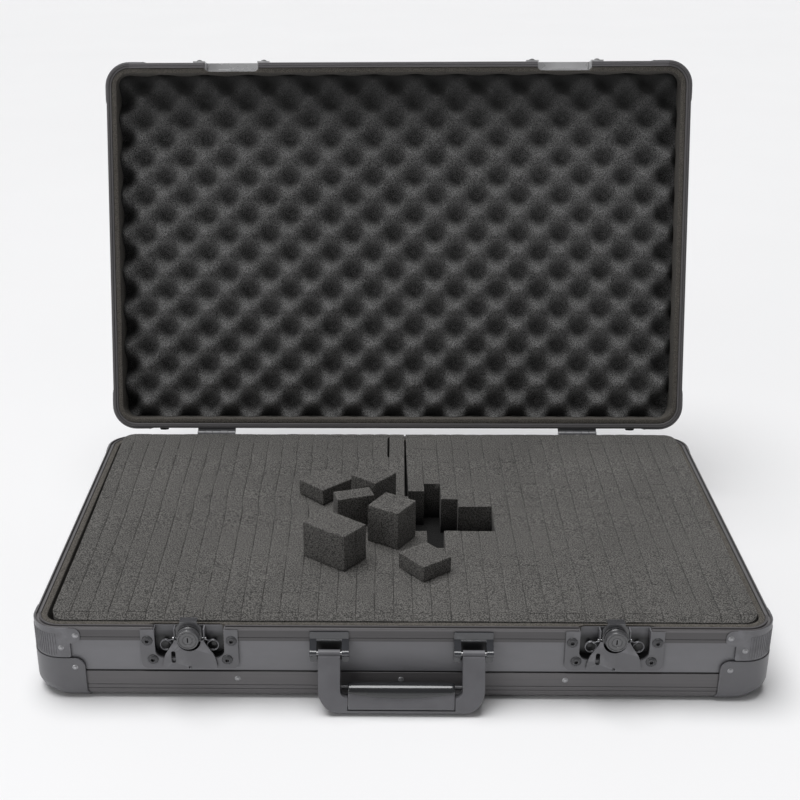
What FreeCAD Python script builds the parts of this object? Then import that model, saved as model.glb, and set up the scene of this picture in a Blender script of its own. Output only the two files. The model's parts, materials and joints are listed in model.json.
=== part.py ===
"""Foam-lined carry case with a hinged lid, standing open.

Two shallow trays of laminated panel in extruded edge profiles, with ball corner caps, rim corner
brackets, two snap latches, a swinging handle and two rear hinges.  The base holds a block of
pluck foam with a plucked pocket and the plucked blocks lying on it.  The lid holds egg-crate foam.

Each tray is drawn standing on its corner caps with the rim up.  X runs along the front, Y from
the front face to the rear and Z up.  The lid is the same kind of tray turned over and swung open
about the hinge pins.  At the end everything is moved so that the origin is the middle of the
open case's footprint, on the floor.
"""
import FreeCAD, Part
import math
import os

V = FreeCAD.Vector

# ---- driving dimensions, mm and degrees ----
CASE_W, CASE_D = 750.0, 472.5      # outside of the edge profiles
BASE_H, LID_H = 84.0, 56.0         # tray heights, corner cap to rim
SEAM = 0.4                         # gap between the rims when shut
OPEN_ANGLE = 106.5                 # lid resting on its hinge stop
CORNER_R = 30.0                    # vertical corners of the trays
PROFILE_T = 1.5                    # wall of the edge profiles
PANEL_T = 5.0                      # side panels
FLOOR_T = 4.0                      # bottom and top panels
RIM_T = 6.5                        # rim section, front to back
RIM_BAND = 15.0                    # height of the rim profile's outer face
BASE_EDGE, LID_EDGE = 33.0, 22.0   # height of the outer edge profiles
EDGE_ROUND = 8.0                   # rounding along the outer edge profiles
EDGE_FLANGE = 34.0                 # how far those profiles reach under the panel
LINING_T = 6.5                     # foam lining along the walls
CAP_T = 1.8                        # ball corner caps
BASE_CAP_H, LID_CAP_H = 48.0, 30.0
BRACKET_T = 1.0                    # rim corner brackets
BASE_BRACKET_H, LID_BRACKET_H = 35.0, 25.0

LATCH_X = 213.5                    # latches, each side of the middle
HANDLE_X = 72.4                    # handle arms, each side of the middle
HINGE_X = 238.5                    # hinges, each side of the middle
FOOT_X = 312.0                     # rear feet, each side of the middle

HINGE_BACK = 7.0                   # hinge pins behind the rear face
HINGE_Z = BASE_H + SEAM / 2
HINGE_Y = CASE_D + HINGE_BACK

HANDLE_Y, HANDLE_Z = -8.5, 60.4    # handle pivot
HANDLE_TILT = 16.0                 # how far the resting handle leans out

LATCH_Y, LATCH_Z = 2.0, BASE_H - 14.0   # latch cross shaft

PLUCK = 19.4                       # pitch of the pluck foam's columns
PLUCK_TOP, PLUCK_BOTTOM = 88.0, 45.0

HALF_W = CASE_W / 2
SHUT_H = BASE_H + SEAM + LID_H
INNER = RIM_T + LINING_T           # inner face of the lining, from the outside


# ---- small helpers ----
def box(x0, x1, y0, y1, z0, z1):
    return Part.makeBox(x1 - x0, y1 - y0, z1 - z0, V(x0, y0, z0))


def rod(radius, start, end):
    start, end = V(*start), V(*end)
    return Part.makeCylinder(radius, (end - start).Length, start, end - start)


def rounded_face(points, place):
    """Flat face with corners (p, q) or (p, q, radius); place turns (p, q) into a point."""
    corners = [(V(c[0], c[1], 0), c[2] if len(c) > 2 else 0.0) for c in points]
    edges, ends = [], []
    for i, (corner, radius) in enumerate(corners):
        if not radius:
            ends.append((corner, corner))
            continue
        back = (corners[i - 1][0] - corner).normalize()
        ahead = (corners[(i + 1) % len(corners)][0] - corner).normalize()
        half = back.getAngle(ahead) / 2
        reach = radius / math.tan(half)
        start, end = corner + back * reach, corner + ahead * reach
        inward = (back + ahead).normalize()
        middle = corner + inward * (radius / math.sin(half) - radius)
        edges.append((i, Part.Arc(*(place(p.x, p.y) for p in (start, middle, end))).toShape()))
        ends.append((start, end))
    for i, (start, end) in enumerate(ends):
        following = ends[(i + 1) % len(ends)][0]
        if end.distanceToPoint(following) > 1e-6:
            edges.append((i + 0.5, Part.makeLine(place(end.x, end.y), place(following.x, following.y))))
    ordered = [edge for _, edge in sorted(edges, key=lambda item: item[0])]
    return Part.Face(Part.Wire(ordered))


def prism_x(x0, x1, points):
    """Outline in (y, z), swept from x0 to x1."""
    return rounded_face(points, lambda y, z: V(x0, y, z)).extrude(V(x1 - x0, 0, 0))


def prism_y(y0, y1, points):
    """Outline in (x, z), swept from y0 to y1."""
    return rounded_face(points, lambda x, z: V(x, y0, z)).extrude(V(0, y1 - y0, 0))


def prism_z(z0, z1, points):
    """Outline in (x, y), swept from z0 to z1."""
    return rounded_face(points, lambda x, y: V(x, y, z0)).extrude(V(0, 0, z1 - z0))


def rectangle(x0, x1, y0, y1, radius=0.0):
    return [(x0, y0, radius), (x1, y0, radius), (x1, y1, radius), (x0, y1, radius)]


def joined(shapes):
    shapes = list(shapes)
    return shapes[0].fuse(shapes[1:]).removeSplitter() if len(shapes) > 1 else shapes[0]


def mirrored_x(shapes):
    """The shapes and their mirror images on the other side of the case's middle."""
    return shapes + [shape.mirror(V(0, 0, 0), V(1, 0, 0)) for shape in shapes]


def mirrored_y(shapes):
    return shapes + [shape.mirror(V(0, CASE_D / 2, 0), V(0, 1, 0)) for shape in shapes]


def at_corners(shapes):
    return mirrored_y(mirrored_x(shapes))


def moved(shape, x=0.0, y=0.0, z=0.0):
    copy = shape.copy()
    copy.translate(V(x, y, z))
    return copy


def turned(shape, point, axis, degrees):
    copy = shape.copy()
    copy.rotate(V(*point), V(*axis), degrees)
    return copy


def on_right_wall(shape):
    """Takes a shape drawn on the front wall to the right wall."""
    return moved(turned(shape, (0, 0, 0), (0, 0, 1), 90), x=HALF_W, y=CASE_D / 2)


def round_corner(points):
    """A wall section in (depth, z), carried round the front right corner."""
    centre_x = HALF_W - CORNER_R
    face = rounded_face(points, lambda y, z: V(centre_x, y, z))
    return face.revolve(V(centre_x, CORNER_R, 0), V(0, 0, 1), 90)


def dome(point, outward, width, height):
    """Rivet head with its flat side on the given point."""
    radius = (width ** 2 / 4 + height ** 2) / (2 * height)
    direction = V(*outward)
    centre = V(*point) - direction * (radius - height)
    rise = math.degrees(math.asin((radius - height) / radius))
    return Part.makeSphere(radius, centre, direction, rise, 90, 360)


def eyelet(point, outward):
    """Hollow rivet head."""
    direction = V(*outward)
    hole = Part.makeCylinder(1.7, 4.0, V(*point) - direction, direction)
    return dome(point, outward, 9.0, 2.0).cut(hole)


# ---- what both trays are made of ----
def floor_panel():
    inset = EDGE_ROUND
    return [prism_z(CAP_T + PROFILE_T, CAP_T + PROFILE_T + FLOOR_T, rectangle(
        -HALF_W + inset, HALF_W - inset, inset, CASE_D - inset, CORNER_R - inset))]


PANEL_LOW, POST_LOW = CAP_T + EDGE_ROUND, 18.0   # lower edges of the side panels and corner posts
RIM_SEAT = 6.0                                   # the panels stop this far below the rim


def wall_panel(half_length, height):
    """Side panel on the front wall, its lower corners cut off to clear the ball corners."""
    slope = POST_LOW - PANEL_LOW
    high = height - RIM_SEAT
    return prism_y(PROFILE_T, PROFILE_T + PANEL_T, [
        (-half_length + slope, PANEL_LOW), (half_length - slope, PANEL_LOW), (half_length, POST_LOW),
        (half_length, high), (-half_length, high), (-half_length, POST_LOW)])


def corner_posts(height):
    return at_corners([round_corner(
        rectangle(PROFILE_T, PROFILE_T + PANEL_T, POST_LOW, height - RIM_SEAT))])


EDGE_GROOVES = (11.9, 16.6)        # heights of the fine grooves along the edge profiles
RIM_GROOVES = (11.0,)              # and how far below the rim they run along the rim profiles
GROOVE_W, GROOVE_DEPTH = 0.9, 0.35
SEAM_BEVEL = 1.6                   # V-groove where an edge profile meets its panel


def grooved_face(z_low, z_high, grooves):
    """Outer face of an extrusion, from z_low up to z_high, with fine grooves at the given heights."""
    points = [(0.0, z_low)]
    for z in sorted(grooves):
        low, high = z - GROOVE_W / 2, z + GROOVE_W / 2
        points += [(0.0, low), (GROOVE_DEPTH, low), (GROOVE_DEPTH, high), (0.0, high)]
    return points + [(0.0, z_high)]


def edge_section(edge_height):
    """Outer edge profile: an upright flange, a rounded edge and a flange under the panel."""
    top = edge_height
    face = grooved_face(CAP_T + EDGE_ROUND + 1.0, top - 2.0, EDGE_GROOVES)
    return ([(PROFILE_T, top - SEAM_BEVEL), (PROFILE_T, CAP_T + PROFILE_T, EDGE_ROUND - PROFILE_T),
             (EDGE_FLANGE, CAP_T + PROFILE_T), (EDGE_FLANGE, CAP_T), (0.0, CAP_T, EDGE_ROUND)]
            + face + [(0.0, top, 0.5)])


def edge_profiles(half_length, edge_height):
    return prism_x(-half_length, half_length, edge_section(edge_height))


GROOVE_FROM, GROOVE_TO, GROOVE_DEEP = 1.6, 4.2, 2.4
TONGUE_W, TONGUE_H = 1.0, 1.6


def rim_section(height, tongue):
    """Rim profile: banded outer flange, and a top with the closing groove or its tongue."""
    seat = height - RIM_SEAT
    face = grooved_face(height - RIM_BAND + 1.0, height - 2.0, [height - drop for drop in RIM_GROOVES])
    middle = (GROOVE_FROM + GROOVE_TO) / 2
    if tongue:
        mouth = [(middle - TONGUE_W / 2, height), (middle - TONGUE_W / 2, height + TONGUE_H),
                 (middle + TONGUE_W / 2, height + TONGUE_H), (middle + TONGUE_W / 2, height)]
    else:
        mouth = [(GROOVE_FROM, height), (GROOVE_FROM, height - GROOVE_DEEP),
                 (GROOVE_TO, height - GROOVE_DEEP), (GROOVE_TO, height)]
    return ([(RIM_T, height, 0.6), (RIM_T, seat), (PROFILE_T, seat),
             (PROFILE_T, height - RIM_BAND), (0.0, height - RIM_BAND)]
            + face + [(0.0, height, 0.8)] + mouth)


def rim_front(height, tongue, gap):
    """Front rim in three lengths, broken where the latches pass."""
    section = rim_section(height, tongue)
    end = HALF_W - CORNER_R
    middle = prism_x(-LATCH_X + gap, LATCH_X - gap, section)
    return [middle] + mirrored_x([prism_x(LATCH_X + gap, end, section)])


def rim_rear(height, tongue):
    length = HALF_W - CORNER_R
    return [prism_x(-length, length, rim_section(height, tongue)).mirror(V(0, CASE_D / 2, 0), V(0, 1, 0))]


def rim_sides(height, tongue):
    length = CASE_D / 2 - CORNER_R
    return mirrored_x([on_right_wall(prism_x(-length, length, rim_section(height, tongue)))])


def rim_corners(height, tongue):
    return at_corners([round_corner(rim_section(height, tongue))])


CAP_REACH, CAP_SIDE = 56.5, 54.0   # leg of a ball corner along the floor and up the wall
CAP_FLARE_LOW, CAP_FLARE_HIGH = 4.5, 9.0
CAP_SHOULDER = 10.0                # rounding of its upper corners
CAP_ROUND = 12.0                   # its lower edge


def tray_corner(offset, low, high, rounding):
    """The front right corner of a tray grown by offset, as a solid block."""
    x_out, y_out, far = HALF_W + offset, -offset, CAP_REACH + 20.0
    x_in = HALF_W - far
    plan = prism_z(low, high, [
        (x_in, y_out), (x_out, y_out, CORNER_R + offset), (x_out, far), (x_in, far)])
    bottom = [e for e in plan.Edges if e.BoundBox.ZMax < low + 0.01
              and e.BoundBox.XMax > x_in + 1 and e.BoundBox.YMin < far - 1]
    return plan.makeFillet(rounding, bottom)


def corner_caps(height):
    """Ball corners: two rounded legs up the walls and a plate under the floor."""
    outer = tray_corner(CAP_T, 0.0, height, CAP_ROUND)
    inner = tray_corner(0.0, CAP_T, height + 1.0, EDGE_ROUND)
    shell = outer.cut(inner)
    low_x, side_x = HALF_W - CAP_REACH, HALF_W - CAP_SIDE
    far = HALF_W + 10.0
    front = prism_y(-5.0, 100.0, [
        (low_x, -1.0), (low_x, CAP_FLARE_LOW), (side_x, CAP_FLARE_HIGH, 3.0),
        (side_x, height, CAP_SHOULDER), (far, height), (far, -1.0)])
    side = prism_x(HALF_W - 100.0, far, [
        (CAP_REACH, -1.0), (CAP_REACH, CAP_FLARE_LOW), (CAP_SIDE, CAP_FLARE_HIGH, 3.0),
        (CAP_SIDE, height, CAP_SHOULDER), (-5.0, height), (-5.0, -1.0)])
    under = prism_z(-1.0, height, [
        (low_x, -5.0), (far, -5.0), (far, CAP_REACH), (HALF_W - 30.0, CAP_REACH, 8.0), (low_x, 30.0, 8.0)])
    return at_corners([shell.common(front).common(side).common(under)])


BRACKET_LEG, BRACKET_TAB = 40.5, 51.2   # from the side face to the end of a leg and of its tab
TAB_HIGH, TAB_LOW, TAB_R = 1.2, 18.5, 7.0   # the tab's edges below the rim, and its corners
RIBS, RIB_R = 17, 0.55                  # places for ribs round the corner; both end ones stay empty


def rim_brackets(height, drop):
    """Ribbed corner plates over the rim profile and the panels, with a rounded tab on each leg."""
    low, high = height - drop, height - 0.5
    turn_x = HALF_W - CORNER_R
    arc = round_corner([(-BRACKET_T, low), (0.0, low), (0.0, high), (-BRACKET_T, high)])
    leg = prism_y(-BRACKET_T, 0.0, [
        (turn_x, low), (HALF_W - BRACKET_LEG, low, 2.0), (HALF_W - BRACKET_LEG, height - TAB_LOW),
        (HALF_W - BRACKET_TAB, height - TAB_LOW, TAB_R), (HALF_W - BRACKET_TAB, height - TAB_HIGH, TAB_R),
        (HALF_W - BRACKET_LEG, height - TAB_HIGH), (HALF_W - BRACKET_LEG, high), (turn_x, high)])
    side_leg = moved(on_right_wall(moved(leg, x=-turn_x)), y=CORNER_R - CASE_D / 2)
    side_leg = side_leg.mirror(V(0, CORNER_R, 0), V(0, 1, 0))
    ribs = []
    for i in range(1, RIBS - 1):
        angle = math.radians(90.0 * (i + 0.5) / RIBS)
        x = turn_x + (CORNER_R + BRACKET_T) * math.sin(angle)
        y = CORNER_R - (CORNER_R + BRACKET_T) * math.cos(angle)
        ribs.append(rod(RIB_R, (x, y, low + 2.0), (x, y, high - 7.0)))
    return at_corners([joined([arc, leg, side_leg] + ribs)])


def corner_rivets(height, cap_height):
    """Rivets of one corner's bracket and cap, front and side, repeated at all four."""
    plate_z = (height + cap_height) / 2 - 5.7
    spots = [(HALF_W - 46.4, height - 9.3, BRACKET_T), (HALF_W - 31.0, plate_z, BRACKET_T),
             (HALF_W - 43.7, cap_height - 10.4, CAP_T)]
    heads = []
    for x, z, proud in spots:
        heads.append(dome((x, -proud, z), (0, -1, 0), 6.0, 1.3))
        heads.append(dome((HALF_W + proud, HALF_W - x, z), (1, 0, 0), 6.0, 1.3))
    return at_corners(heads)


RIVET_STEP, SIDE_RIVET_STEP = 166.5, 110.0   # rivets along the edge profiles, from the middle


def edge_rivets(z):
    """Rivets along the outer edge profiles."""
    long_side = [dome((i * RIVET_STEP, 0.0, z), (0, -1, 0), 6.0, 1.2) for i in (-1, 0, 1)]
    short_side = [dome((HALF_W, CASE_D / 2 + i * SIDE_RIVET_STEP, z), (1, 0, 0), 6.0, 1.2) for i in (-1, 1)]
    return mirrored_y(long_side) + mirrored_x(short_side)


def rear_feet(z):
    """Tapered rubber feet on the rear wall, for standing the shut case up."""
    foot = Part.makeCone(7.0, 5.5, 5.0, V(FOOT_X, CASE_D, z), V(0, 1, 0))
    return mirrored_x([foot])


def lining(low, high, pocket_half, pocket_deep, pocket_low):
    """Foam strips along the four walls, the front one pocketed behind the latches."""
    side_length = CASE_D / 2 - INNER
    front = box(-HALF_W + RIM_T, HALF_W - RIM_T, RIM_T, INNER, low, high)
    corner = prism_z(low, high, rectangle(
        -HALF_W + RIM_T, HALF_W - RIM_T, RIM_T, CASE_D - RIM_T, CORNER_R - RIM_T))
    pockets = [box(side * LATCH_X - pocket_half, side * LATCH_X + pocket_half, 0.0, pocket_deep,
                   pocket_low, high + 1.0) for side in (-1, 1)]
    rear = front.mirror(V(0, CASE_D / 2, 0), V(0, 1, 0))
    sides = mirrored_x([on_right_wall(box(-side_length, side_length, RIM_T, INNER, low, high))])
    return [front.common(corner).cut(pockets), rear.common(corner)] + [s.common(corner) for s in sides]


# ---- hinges ----
LEAF_HALF, LEAF_T, LEAF_DROP = 25.0, 1.5, 26.0
KNUCKLE_R, HINGE_PIN_R, PIN_PLAY = 3.6, 1.6, 0.05
LID_KNUCKLES = [(-15.0, -5.0), (5.0, 15.0)]
KNUCKLE_GAP = 0.3


def hinge_leaf():
    """One leaf drawn below the pin, with a knuckle along its whole width."""
    plate = prism_x(-LEAF_HALF, LEAF_HALF, [
        (CASE_D, HINGE_Z - LEAF_DROP), (CASE_D + LEAF_T, HINGE_Z - LEAF_DROP),
        (CASE_D + LEAF_T, HINGE_Z - 5.0), (HINGE_Y, HINGE_Z - 2.5), (HINGE_Y, HINGE_Z),
        (HINGE_Y - 1.0, HINGE_Z), (CASE_D, HINGE_Z - 3.5)])
    knuckle = rod(KNUCKLE_R, (-LEAF_HALF, HINGE_Y, HINGE_Z), (LEAF_HALF, HINGE_Y, HINGE_Z))
    bore = rod(HINGE_PIN_R + PIN_PLAY, (-LEAF_HALF, HINGE_Y, HINGE_Z), (LEAF_HALF, HINGE_Y, HINGE_Z))
    return joined([plate, knuckle]).cut(bore)


def knuckle_window(x0, x1):
    reach = KNUCKLE_R + 0.4
    return rod(reach, (x0, HINGE_Y, HINGE_Z), (x1, HINGE_Y, HINGE_Z))


def base_leaves():
    windows = [knuckle_window(x0 - KNUCKLE_GAP, x1 + KNUCKLE_GAP) for x0, x1 in LID_KNUCKLES]
    return mirrored_x([moved(hinge_leaf().cut(windows), x=HINGE_X)])


def lid_leaves():
    """Drawn shut, above the pin."""
    keep = LID_KNUCKLES
    windows = [knuckle_window(-LEAF_HALF - 1.0, keep[0][0]), knuckle_window(keep[0][1], keep[1][0]),
               knuckle_window(keep[1][1], LEAF_HALF + 1.0)]
    leaf = hinge_leaf().cut(windows).mirror(V(0, 0, HINGE_Z), V(0, 0, 1))
    return mirrored_x([moved(leaf, x=HINGE_X)])


def hinge_pins():
    return mirrored_x([rod(HINGE_PIN_R, (HINGE_X - LEAF_HALF, HINGE_Y, HINGE_Z),
                           (HINGE_X + LEAF_HALF, HINGE_Y, HINGE_Z))])


def hinge_rivets():
    z = HINGE_Z - LEAF_DROP + 7.0
    return mirrored_x([dome((HINGE_X + dx, CASE_D + LEAF_T, z), (0, 1, 0), 6.0, 1.2)
                       for dx in (-16.0, 16.0)])


# ---- latches ----
DISH_HALF, DISH_T = 49.2, 1.2
RECESS_HALF, RECESS_LOW, RECESS_DEEP = 35.0, 35.0, 8.5   # half width, below the rim, into the wall
HOOK_HALF, HOOK_T, HOOK_FRONT = 13.0, 1.6, -1.6
HOOK_RISE, LIP_HALF, LIP_BACK = 7.8, 8.8, 7.2
SHAFT_R, SHAFT_HALF, TUBE_R = 2.0, 16.8, 3.4
CHEEK_IN, CHEEK_OUT = 14.2, 15.6      # plates each side of the hook that hold its shaft
CHEEK_LOW, CHEEK_HIGH = 64.0, 82.0
SPRING_X, SPRING_Z = 24.4, 64.0       # springs lying in the recess, each side of the hook
SPRING_R, SPRING_WIRE = 5.7, 0.6
SPRING_TURNS = (-1.2, -0.1)           # where each turn lies, front to back
SPRING_POST_R, SPRING_POST_FRONT = 2.4, 3.0
SADDLE_FRONT, SADDLE_T = -3.6, 1.4
RELIEF_R, RELIEF_Z = 12.0, 70.7       # scoop in the saddle under the knob
KNOB_R, KNOB_PROUD = 11.0, 9.4
KNOB_Z = BASE_H - 8.0
CORE_R, CORE_DEEP = 4.5, 6.0


def at_latches(shapes):
    """Shapes drawn about x = 0, copied to both latches."""
    return [moved(shape, x=side * LATCH_X) for side in (-1, 1) for shape in shapes]


def latch_dishes():
    """Face plate and the shallow pan behind its opening, with shaft cheeks and spring posts."""
    top = BASE_H - 2.0
    low = BASE_H - RECESS_LOW
    face = prism_y(-DISH_T, 0.0, [
        (-DISH_HALF, top), (-DISH_HALF, BASE_H - 47.0, 6.0),
        (DISH_HALF, BASE_H - 47.0, 6.0), (DISH_HALF, top)])
    opening = prism_y(-5.0, RECESS_DEEP, [
        (-RECESS_HALF, top + 5.0), (-RECESS_HALF, low, 9.0),
        (RECESS_HALF, low, 9.0), (RECESS_HALF, top + 5.0)])
    pan = prism_y(-0.5, RECESS_DEEP + 1.0, [
        (-RECESS_HALF - 1.0, top), (-RECESS_HALF - 1.0, low - 1.0, 10.0),
        (RECESS_HALF + 1.0, low - 1.0, 10.0), (RECESS_HALF + 1.0, top)])
    dish = joined([face, pan]).cut(opening)
    bore = rod(SHAFT_R + PIN_PLAY, (-RECESS_HALF, LATCH_Y, LATCH_Z), (RECESS_HALF, LATCH_Y, LATCH_Z))
    cheek = box(CHEEK_IN, CHEEK_OUT, 0.0, RECESS_DEEP + 0.5, CHEEK_LOW, CHEEK_HIGH).cut(bore)
    post = rod(SPRING_POST_R, (SPRING_X, SPRING_POST_FRONT, SPRING_Z),
               (SPRING_X, RECESS_DEEP + 0.5, SPRING_Z))
    return at_latches([joined([dish] + mirrored_x([cheek, post]))])


def latch_saddles():
    """Bell-shaped plate over the recess, hollowed under the knob, with a slot for a padlock."""
    low, z = BASE_H - 46.0, BASE_H
    half = [(28.0, low, 3.0), (26.5, z - 36.0, 3.0), (24.5, z - 29.5, 3.0), (15.5, z - 15.0, 8.0),
            (13.5, z - 6.0, 1.0)]
    bell = prism_y(SADDLE_FRONT, -DISH_T, half + [(-x, height, radius) for x, height, radius in half[::-1]])
    relief = rod(RELIEF_R, (0, -5, RELIEF_Z), (0, 5, RELIEF_Z))
    above = box(-20, 20, -5, 5, KNOB_Z - 5.0, z)
    behind = box(-30, 30, SADDLE_FRONT + SADDLE_T, 0, z - 38.0, z)
    slot = prism_y(-5.0, 5.0, rectangle(-18.6, -14.2, z - 39.5, z - 25.5, 2.1))
    notch = rod(1.6, (0, -5, low + 1.5), (0, 5, low + 1.5))
    return at_latches([bell.cut([relief, above, behind, slot, notch])])


def cross_shafts():
    return at_latches([rod(SHAFT_R, (-SHAFT_HALF, LATCH_Y, LATCH_Z), (SHAFT_HALF, LATCH_Y, LATCH_Z))])


def latch_springs():
    """Springs each side of the hook: two turns of wire and a straight leg towards the hook."""
    shapes = []
    for side in (-1, 1):
        for y in SPRING_TURNS:
            centre = V(side * SPRING_X, y, SPRING_Z)
            shapes.append(Part.makeTorus(SPRING_R, SPRING_WIRE, centre, V(0, 1, 0)))
        y, top = SPRING_TURNS[0], SPRING_Z + SPRING_R
        shapes.append(rod(SPRING_WIRE, (side * SPRING_X, y, top), (side * (CHEEK_IN - 0.6), y, top + 1.5)))
    return at_latches([joined(shapes[:3]), joined(shapes[3:])])


def latch_rivets():
    spots = [(42.5, 14.5), (37.7, 36.6)]
    heads = [eyelet((side * x, -DISH_T, BASE_H - drop), (0, -1, 0))
             for x, drop in spots for side in (-1, 1)]
    return at_latches(heads)


def hook():
    """Upright plate rolled round the shaft, its top folded back into a lip."""
    top, back = BASE_H + HOOK_RISE, HOOK_FRONT + HOOK_T
    plate = prism_y(HOOK_FRONT, back, [
        (-HOOK_HALF, LATCH_Z), (HOOK_HALF, LATCH_Z), (HOOK_HALF, top - 7.0), (LIP_HALF, top - 2.0),
        (LIP_HALF, top), (-LIP_HALF, top), (-LIP_HALF, top - 2.0), (-HOOK_HALF, top - 7.0)])
    lip = box(-LIP_HALF, LIP_HALF, HOOK_FRONT, LIP_BACK, top - HOOK_T, top)
    roll = rod(TUBE_R, (-HOOK_HALF, LATCH_Y, LATCH_Z), (HOOK_HALF, LATCH_Y, LATCH_Z))
    bore = rod(SHAFT_R + PIN_PLAY, (-HOOK_HALF, LATCH_Y, LATCH_Z), (HOOK_HALF, LATCH_Y, LATCH_Z))
    front = box(-HOOK_HALF, HOOK_HALF, -10.0, HOOK_FRONT, LATCH_Z - 10.0, top)
    return joined([plate, lip, roll]).cut([bore, front])


def knob():
    """Lock housing on the front of the hook, with a stepped collar and a bore for its core."""
    face = HOOK_FRONT - KNOB_PROUD
    parts = [rod(KNOB_R, (0, HOOK_FRONT, KNOB_Z), (0, face, KNOB_Z)),
             rod(KNOB_R + 1.2, (0, HOOK_FRONT, KNOB_Z), (0, HOOK_FRONT - 1.0, KNOB_Z))]
    body = joined(parts)
    rim = [e for e in body.Edges if e.BoundBox.YMax < face + 0.01]
    body = body.makeFillet(0.8, rim)
    return body.cut(rod(CORE_R + PIN_PLAY, (0, face - 1, KNOB_Z), (0, face + CORE_DEEP, KNOB_Z)))


def lock_core():
    """Turning core of the lock, with its keyway."""
    face = HOOK_FRONT - KNOB_PROUD
    core = rod(CORE_R, (0, face + 0.2, KNOB_Z), (0, face + CORE_DEEP, KNOB_Z))
    keyway = box(-0.6, 0.6, face - 1, face + 4.0, KNOB_Z - 2.8, KNOB_Z + 2.8)
    return core.cut(keyway)


KEEPER_HALF, KEEPER_DEEP, KEEPER_H, KEEPER_T = 33.5, 10.2, 22.0, 2.0
LEDGE_LOW, LEDGE_HIGH = 4.6, 3.2      # the ledge's faces below the rim


def keeper_dishes(height):
    """Lid side of a latch: a face plate round a shallow recess, with the ledge the lip snaps over."""
    rim = height - 2.0
    face = prism_y(-KEEPER_T, 0.0, [
        (-DISH_HALF, rim), (-DISH_HALF, height - 28.0, 5.0),
        (DISH_HALF, height - 28.0, 5.0), (DISH_HALF, rim)])
    opening = box(-KEEPER_HALF, KEEPER_HALF, -5.0, KEEPER_DEEP, height - KEEPER_H, height)
    pan = box(-KEEPER_HALF - 1.0, KEEPER_HALF + 1.0, -0.5, KEEPER_DEEP + 1.0, height - KEEPER_H - 1.0, rim)
    ledge = box(-16.5, 16.5, 7.8, KEEPER_DEEP + 0.5, height - LEDGE_LOW, height - LEDGE_HIGH)
    return at_latches([joined([joined([face, pan]).cut(opening), ledge])])


def keeper_rivets(height):
    heads = [dome((side * 41.5, -KEEPER_T, height - 8.5), (0, -1, 0), 9.0, 2.4) for side in (-1, 1)]
    return at_latches(heads)


def latch_cut(shape, half, deep, low):
    """Cuts a pair of latch openings down to z = low."""
    return shape.cut([box(side * LATCH_X - half, side * LATCH_X + half, -5.0, deep, low, SHUT_H)
                      for side in (-1, 1)])


# ---- handle, drawn hanging straight down from its pivot at the origin ----
ARM_OUT, ARM_IN, ARM_T = 83.4, 61.4, 14.0
REACH, FRAME_ROUND = 61.6, 25.0
GRIP_HALF, GRIP_TOP, GRIP_SPLIT, GRIP_LOW = 54.1, 30.0, 44.0, 57.6
GRIP_T, GRIP_PLAY = 18.0, 0.5
HANDLE_PIN_R, ARM_KNUCKLE_R, BRACKET_KNUCKLE_R = 2.0, 3.8, 3.4
GRIP_PIN_R, GRIP_PIN_Z = 1.6, -34.6


def handle_frame():
    half_t = ARM_T / 2
    frame = prism_y(-half_t, half_t, [
        (-ARM_OUT, 0.0), (-ARM_OUT, -REACH, FRAME_ROUND), (ARM_OUT, -REACH, FRAME_ROUND), (ARM_OUT, 0.0),
        (ARM_IN, 0.0), (ARM_IN, -GRIP_SPLIT, 6.5), (GRIP_HALF, -GRIP_SPLIT), (GRIP_HALF, -GRIP_LOW),
        (-GRIP_HALF, -GRIP_LOW), (-GRIP_HALF, -GRIP_SPLIT), (-ARM_IN, -GRIP_SPLIT, 6.5), (-ARM_IN, 0.0)])
    section = prism_x(-ARM_OUT, ARM_OUT, [
        (-half_t, 10.0), (-half_t, -REACH, 5.0), (half_t, -REACH, 5.0), (half_t, 10.0)])
    frame = frame.common(section)
    knuckles = [rod(ARM_KNUCKLE_R, (side * ARM_IN, 0, 0), (side * ARM_OUT, 0, 0)) for side in (-1, 1)]
    bores = [rod(HANDLE_PIN_R + PIN_PLAY, (side * (ARM_IN - 1), 0, 0), (side * (ARM_OUT + 1), 0, 0))
             for side in (-1, 1)]
    steps = ((-half_t - 1, -ARM_KNUCKLE_R), (ARM_KNUCKLE_R, half_t + 1))
    shoulders = [box(*sorted((side * ARM_IN, side * ARM_OUT)), y_low, y_high, -2.0, 6.0)
                 for side in (-1, 1) for y_low, y_high in steps]
    return joined([frame.cut(shoulders)] + knuckles).cut(bores)


def grip_upper():
    """Rounded bar that the fingers close on."""
    half_t, half = GRIP_T / 2, GRIP_HALF - GRIP_PLAY
    return prism_x(-half, half, [
        (-half_t, -GRIP_SPLIT), (-half_t, -GRIP_TOP, half_t - 0.5), (half_t, -GRIP_TOP, half_t - 0.5),
        (half_t, -GRIP_SPLIT)])


def grip_lower():
    half_t, half, low = ARM_T / 2 + 0.4, GRIP_HALF - GRIP_PLAY, GRIP_LOW - GRIP_PLAY
    return prism_x(-half, half, [
        (-half_t, -low, 2.0), (half_t, -low, 2.0), (half_t, -GRIP_SPLIT), (-half_t, -GRIP_SPLIT)])


def grip_pins():
    start, end = GRIP_HALF - GRIP_PLAY, ARM_IN
    return [rod(GRIP_PIN_R, (side * start, 0, GRIP_PIN_Z), (side * end, 0, GRIP_PIN_Z)) for side in (-1, 1)]


def hung(shapes):
    """Takes handle shapes to the pivot, leaning out as the handle rests."""
    return [moved(turned(shape, (0, 0, 0), (-1, 0, 0), HANDLE_TILT), y=HANDLE_Y, z=HANDLE_Z)
            for shape in shapes]


PLATE_HALF, WINDOW_HALF = 19.6, 12.7
PLATE_HIGH, PLATE_LOW, WINDOW_HIGH = BASE_H - 3.3, BASE_H - 38.2, BASE_H - 13.8
PLATE_T, FOLD_R = 1.5, 1.0            # bracket plate, and the folded edge over its window


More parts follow.
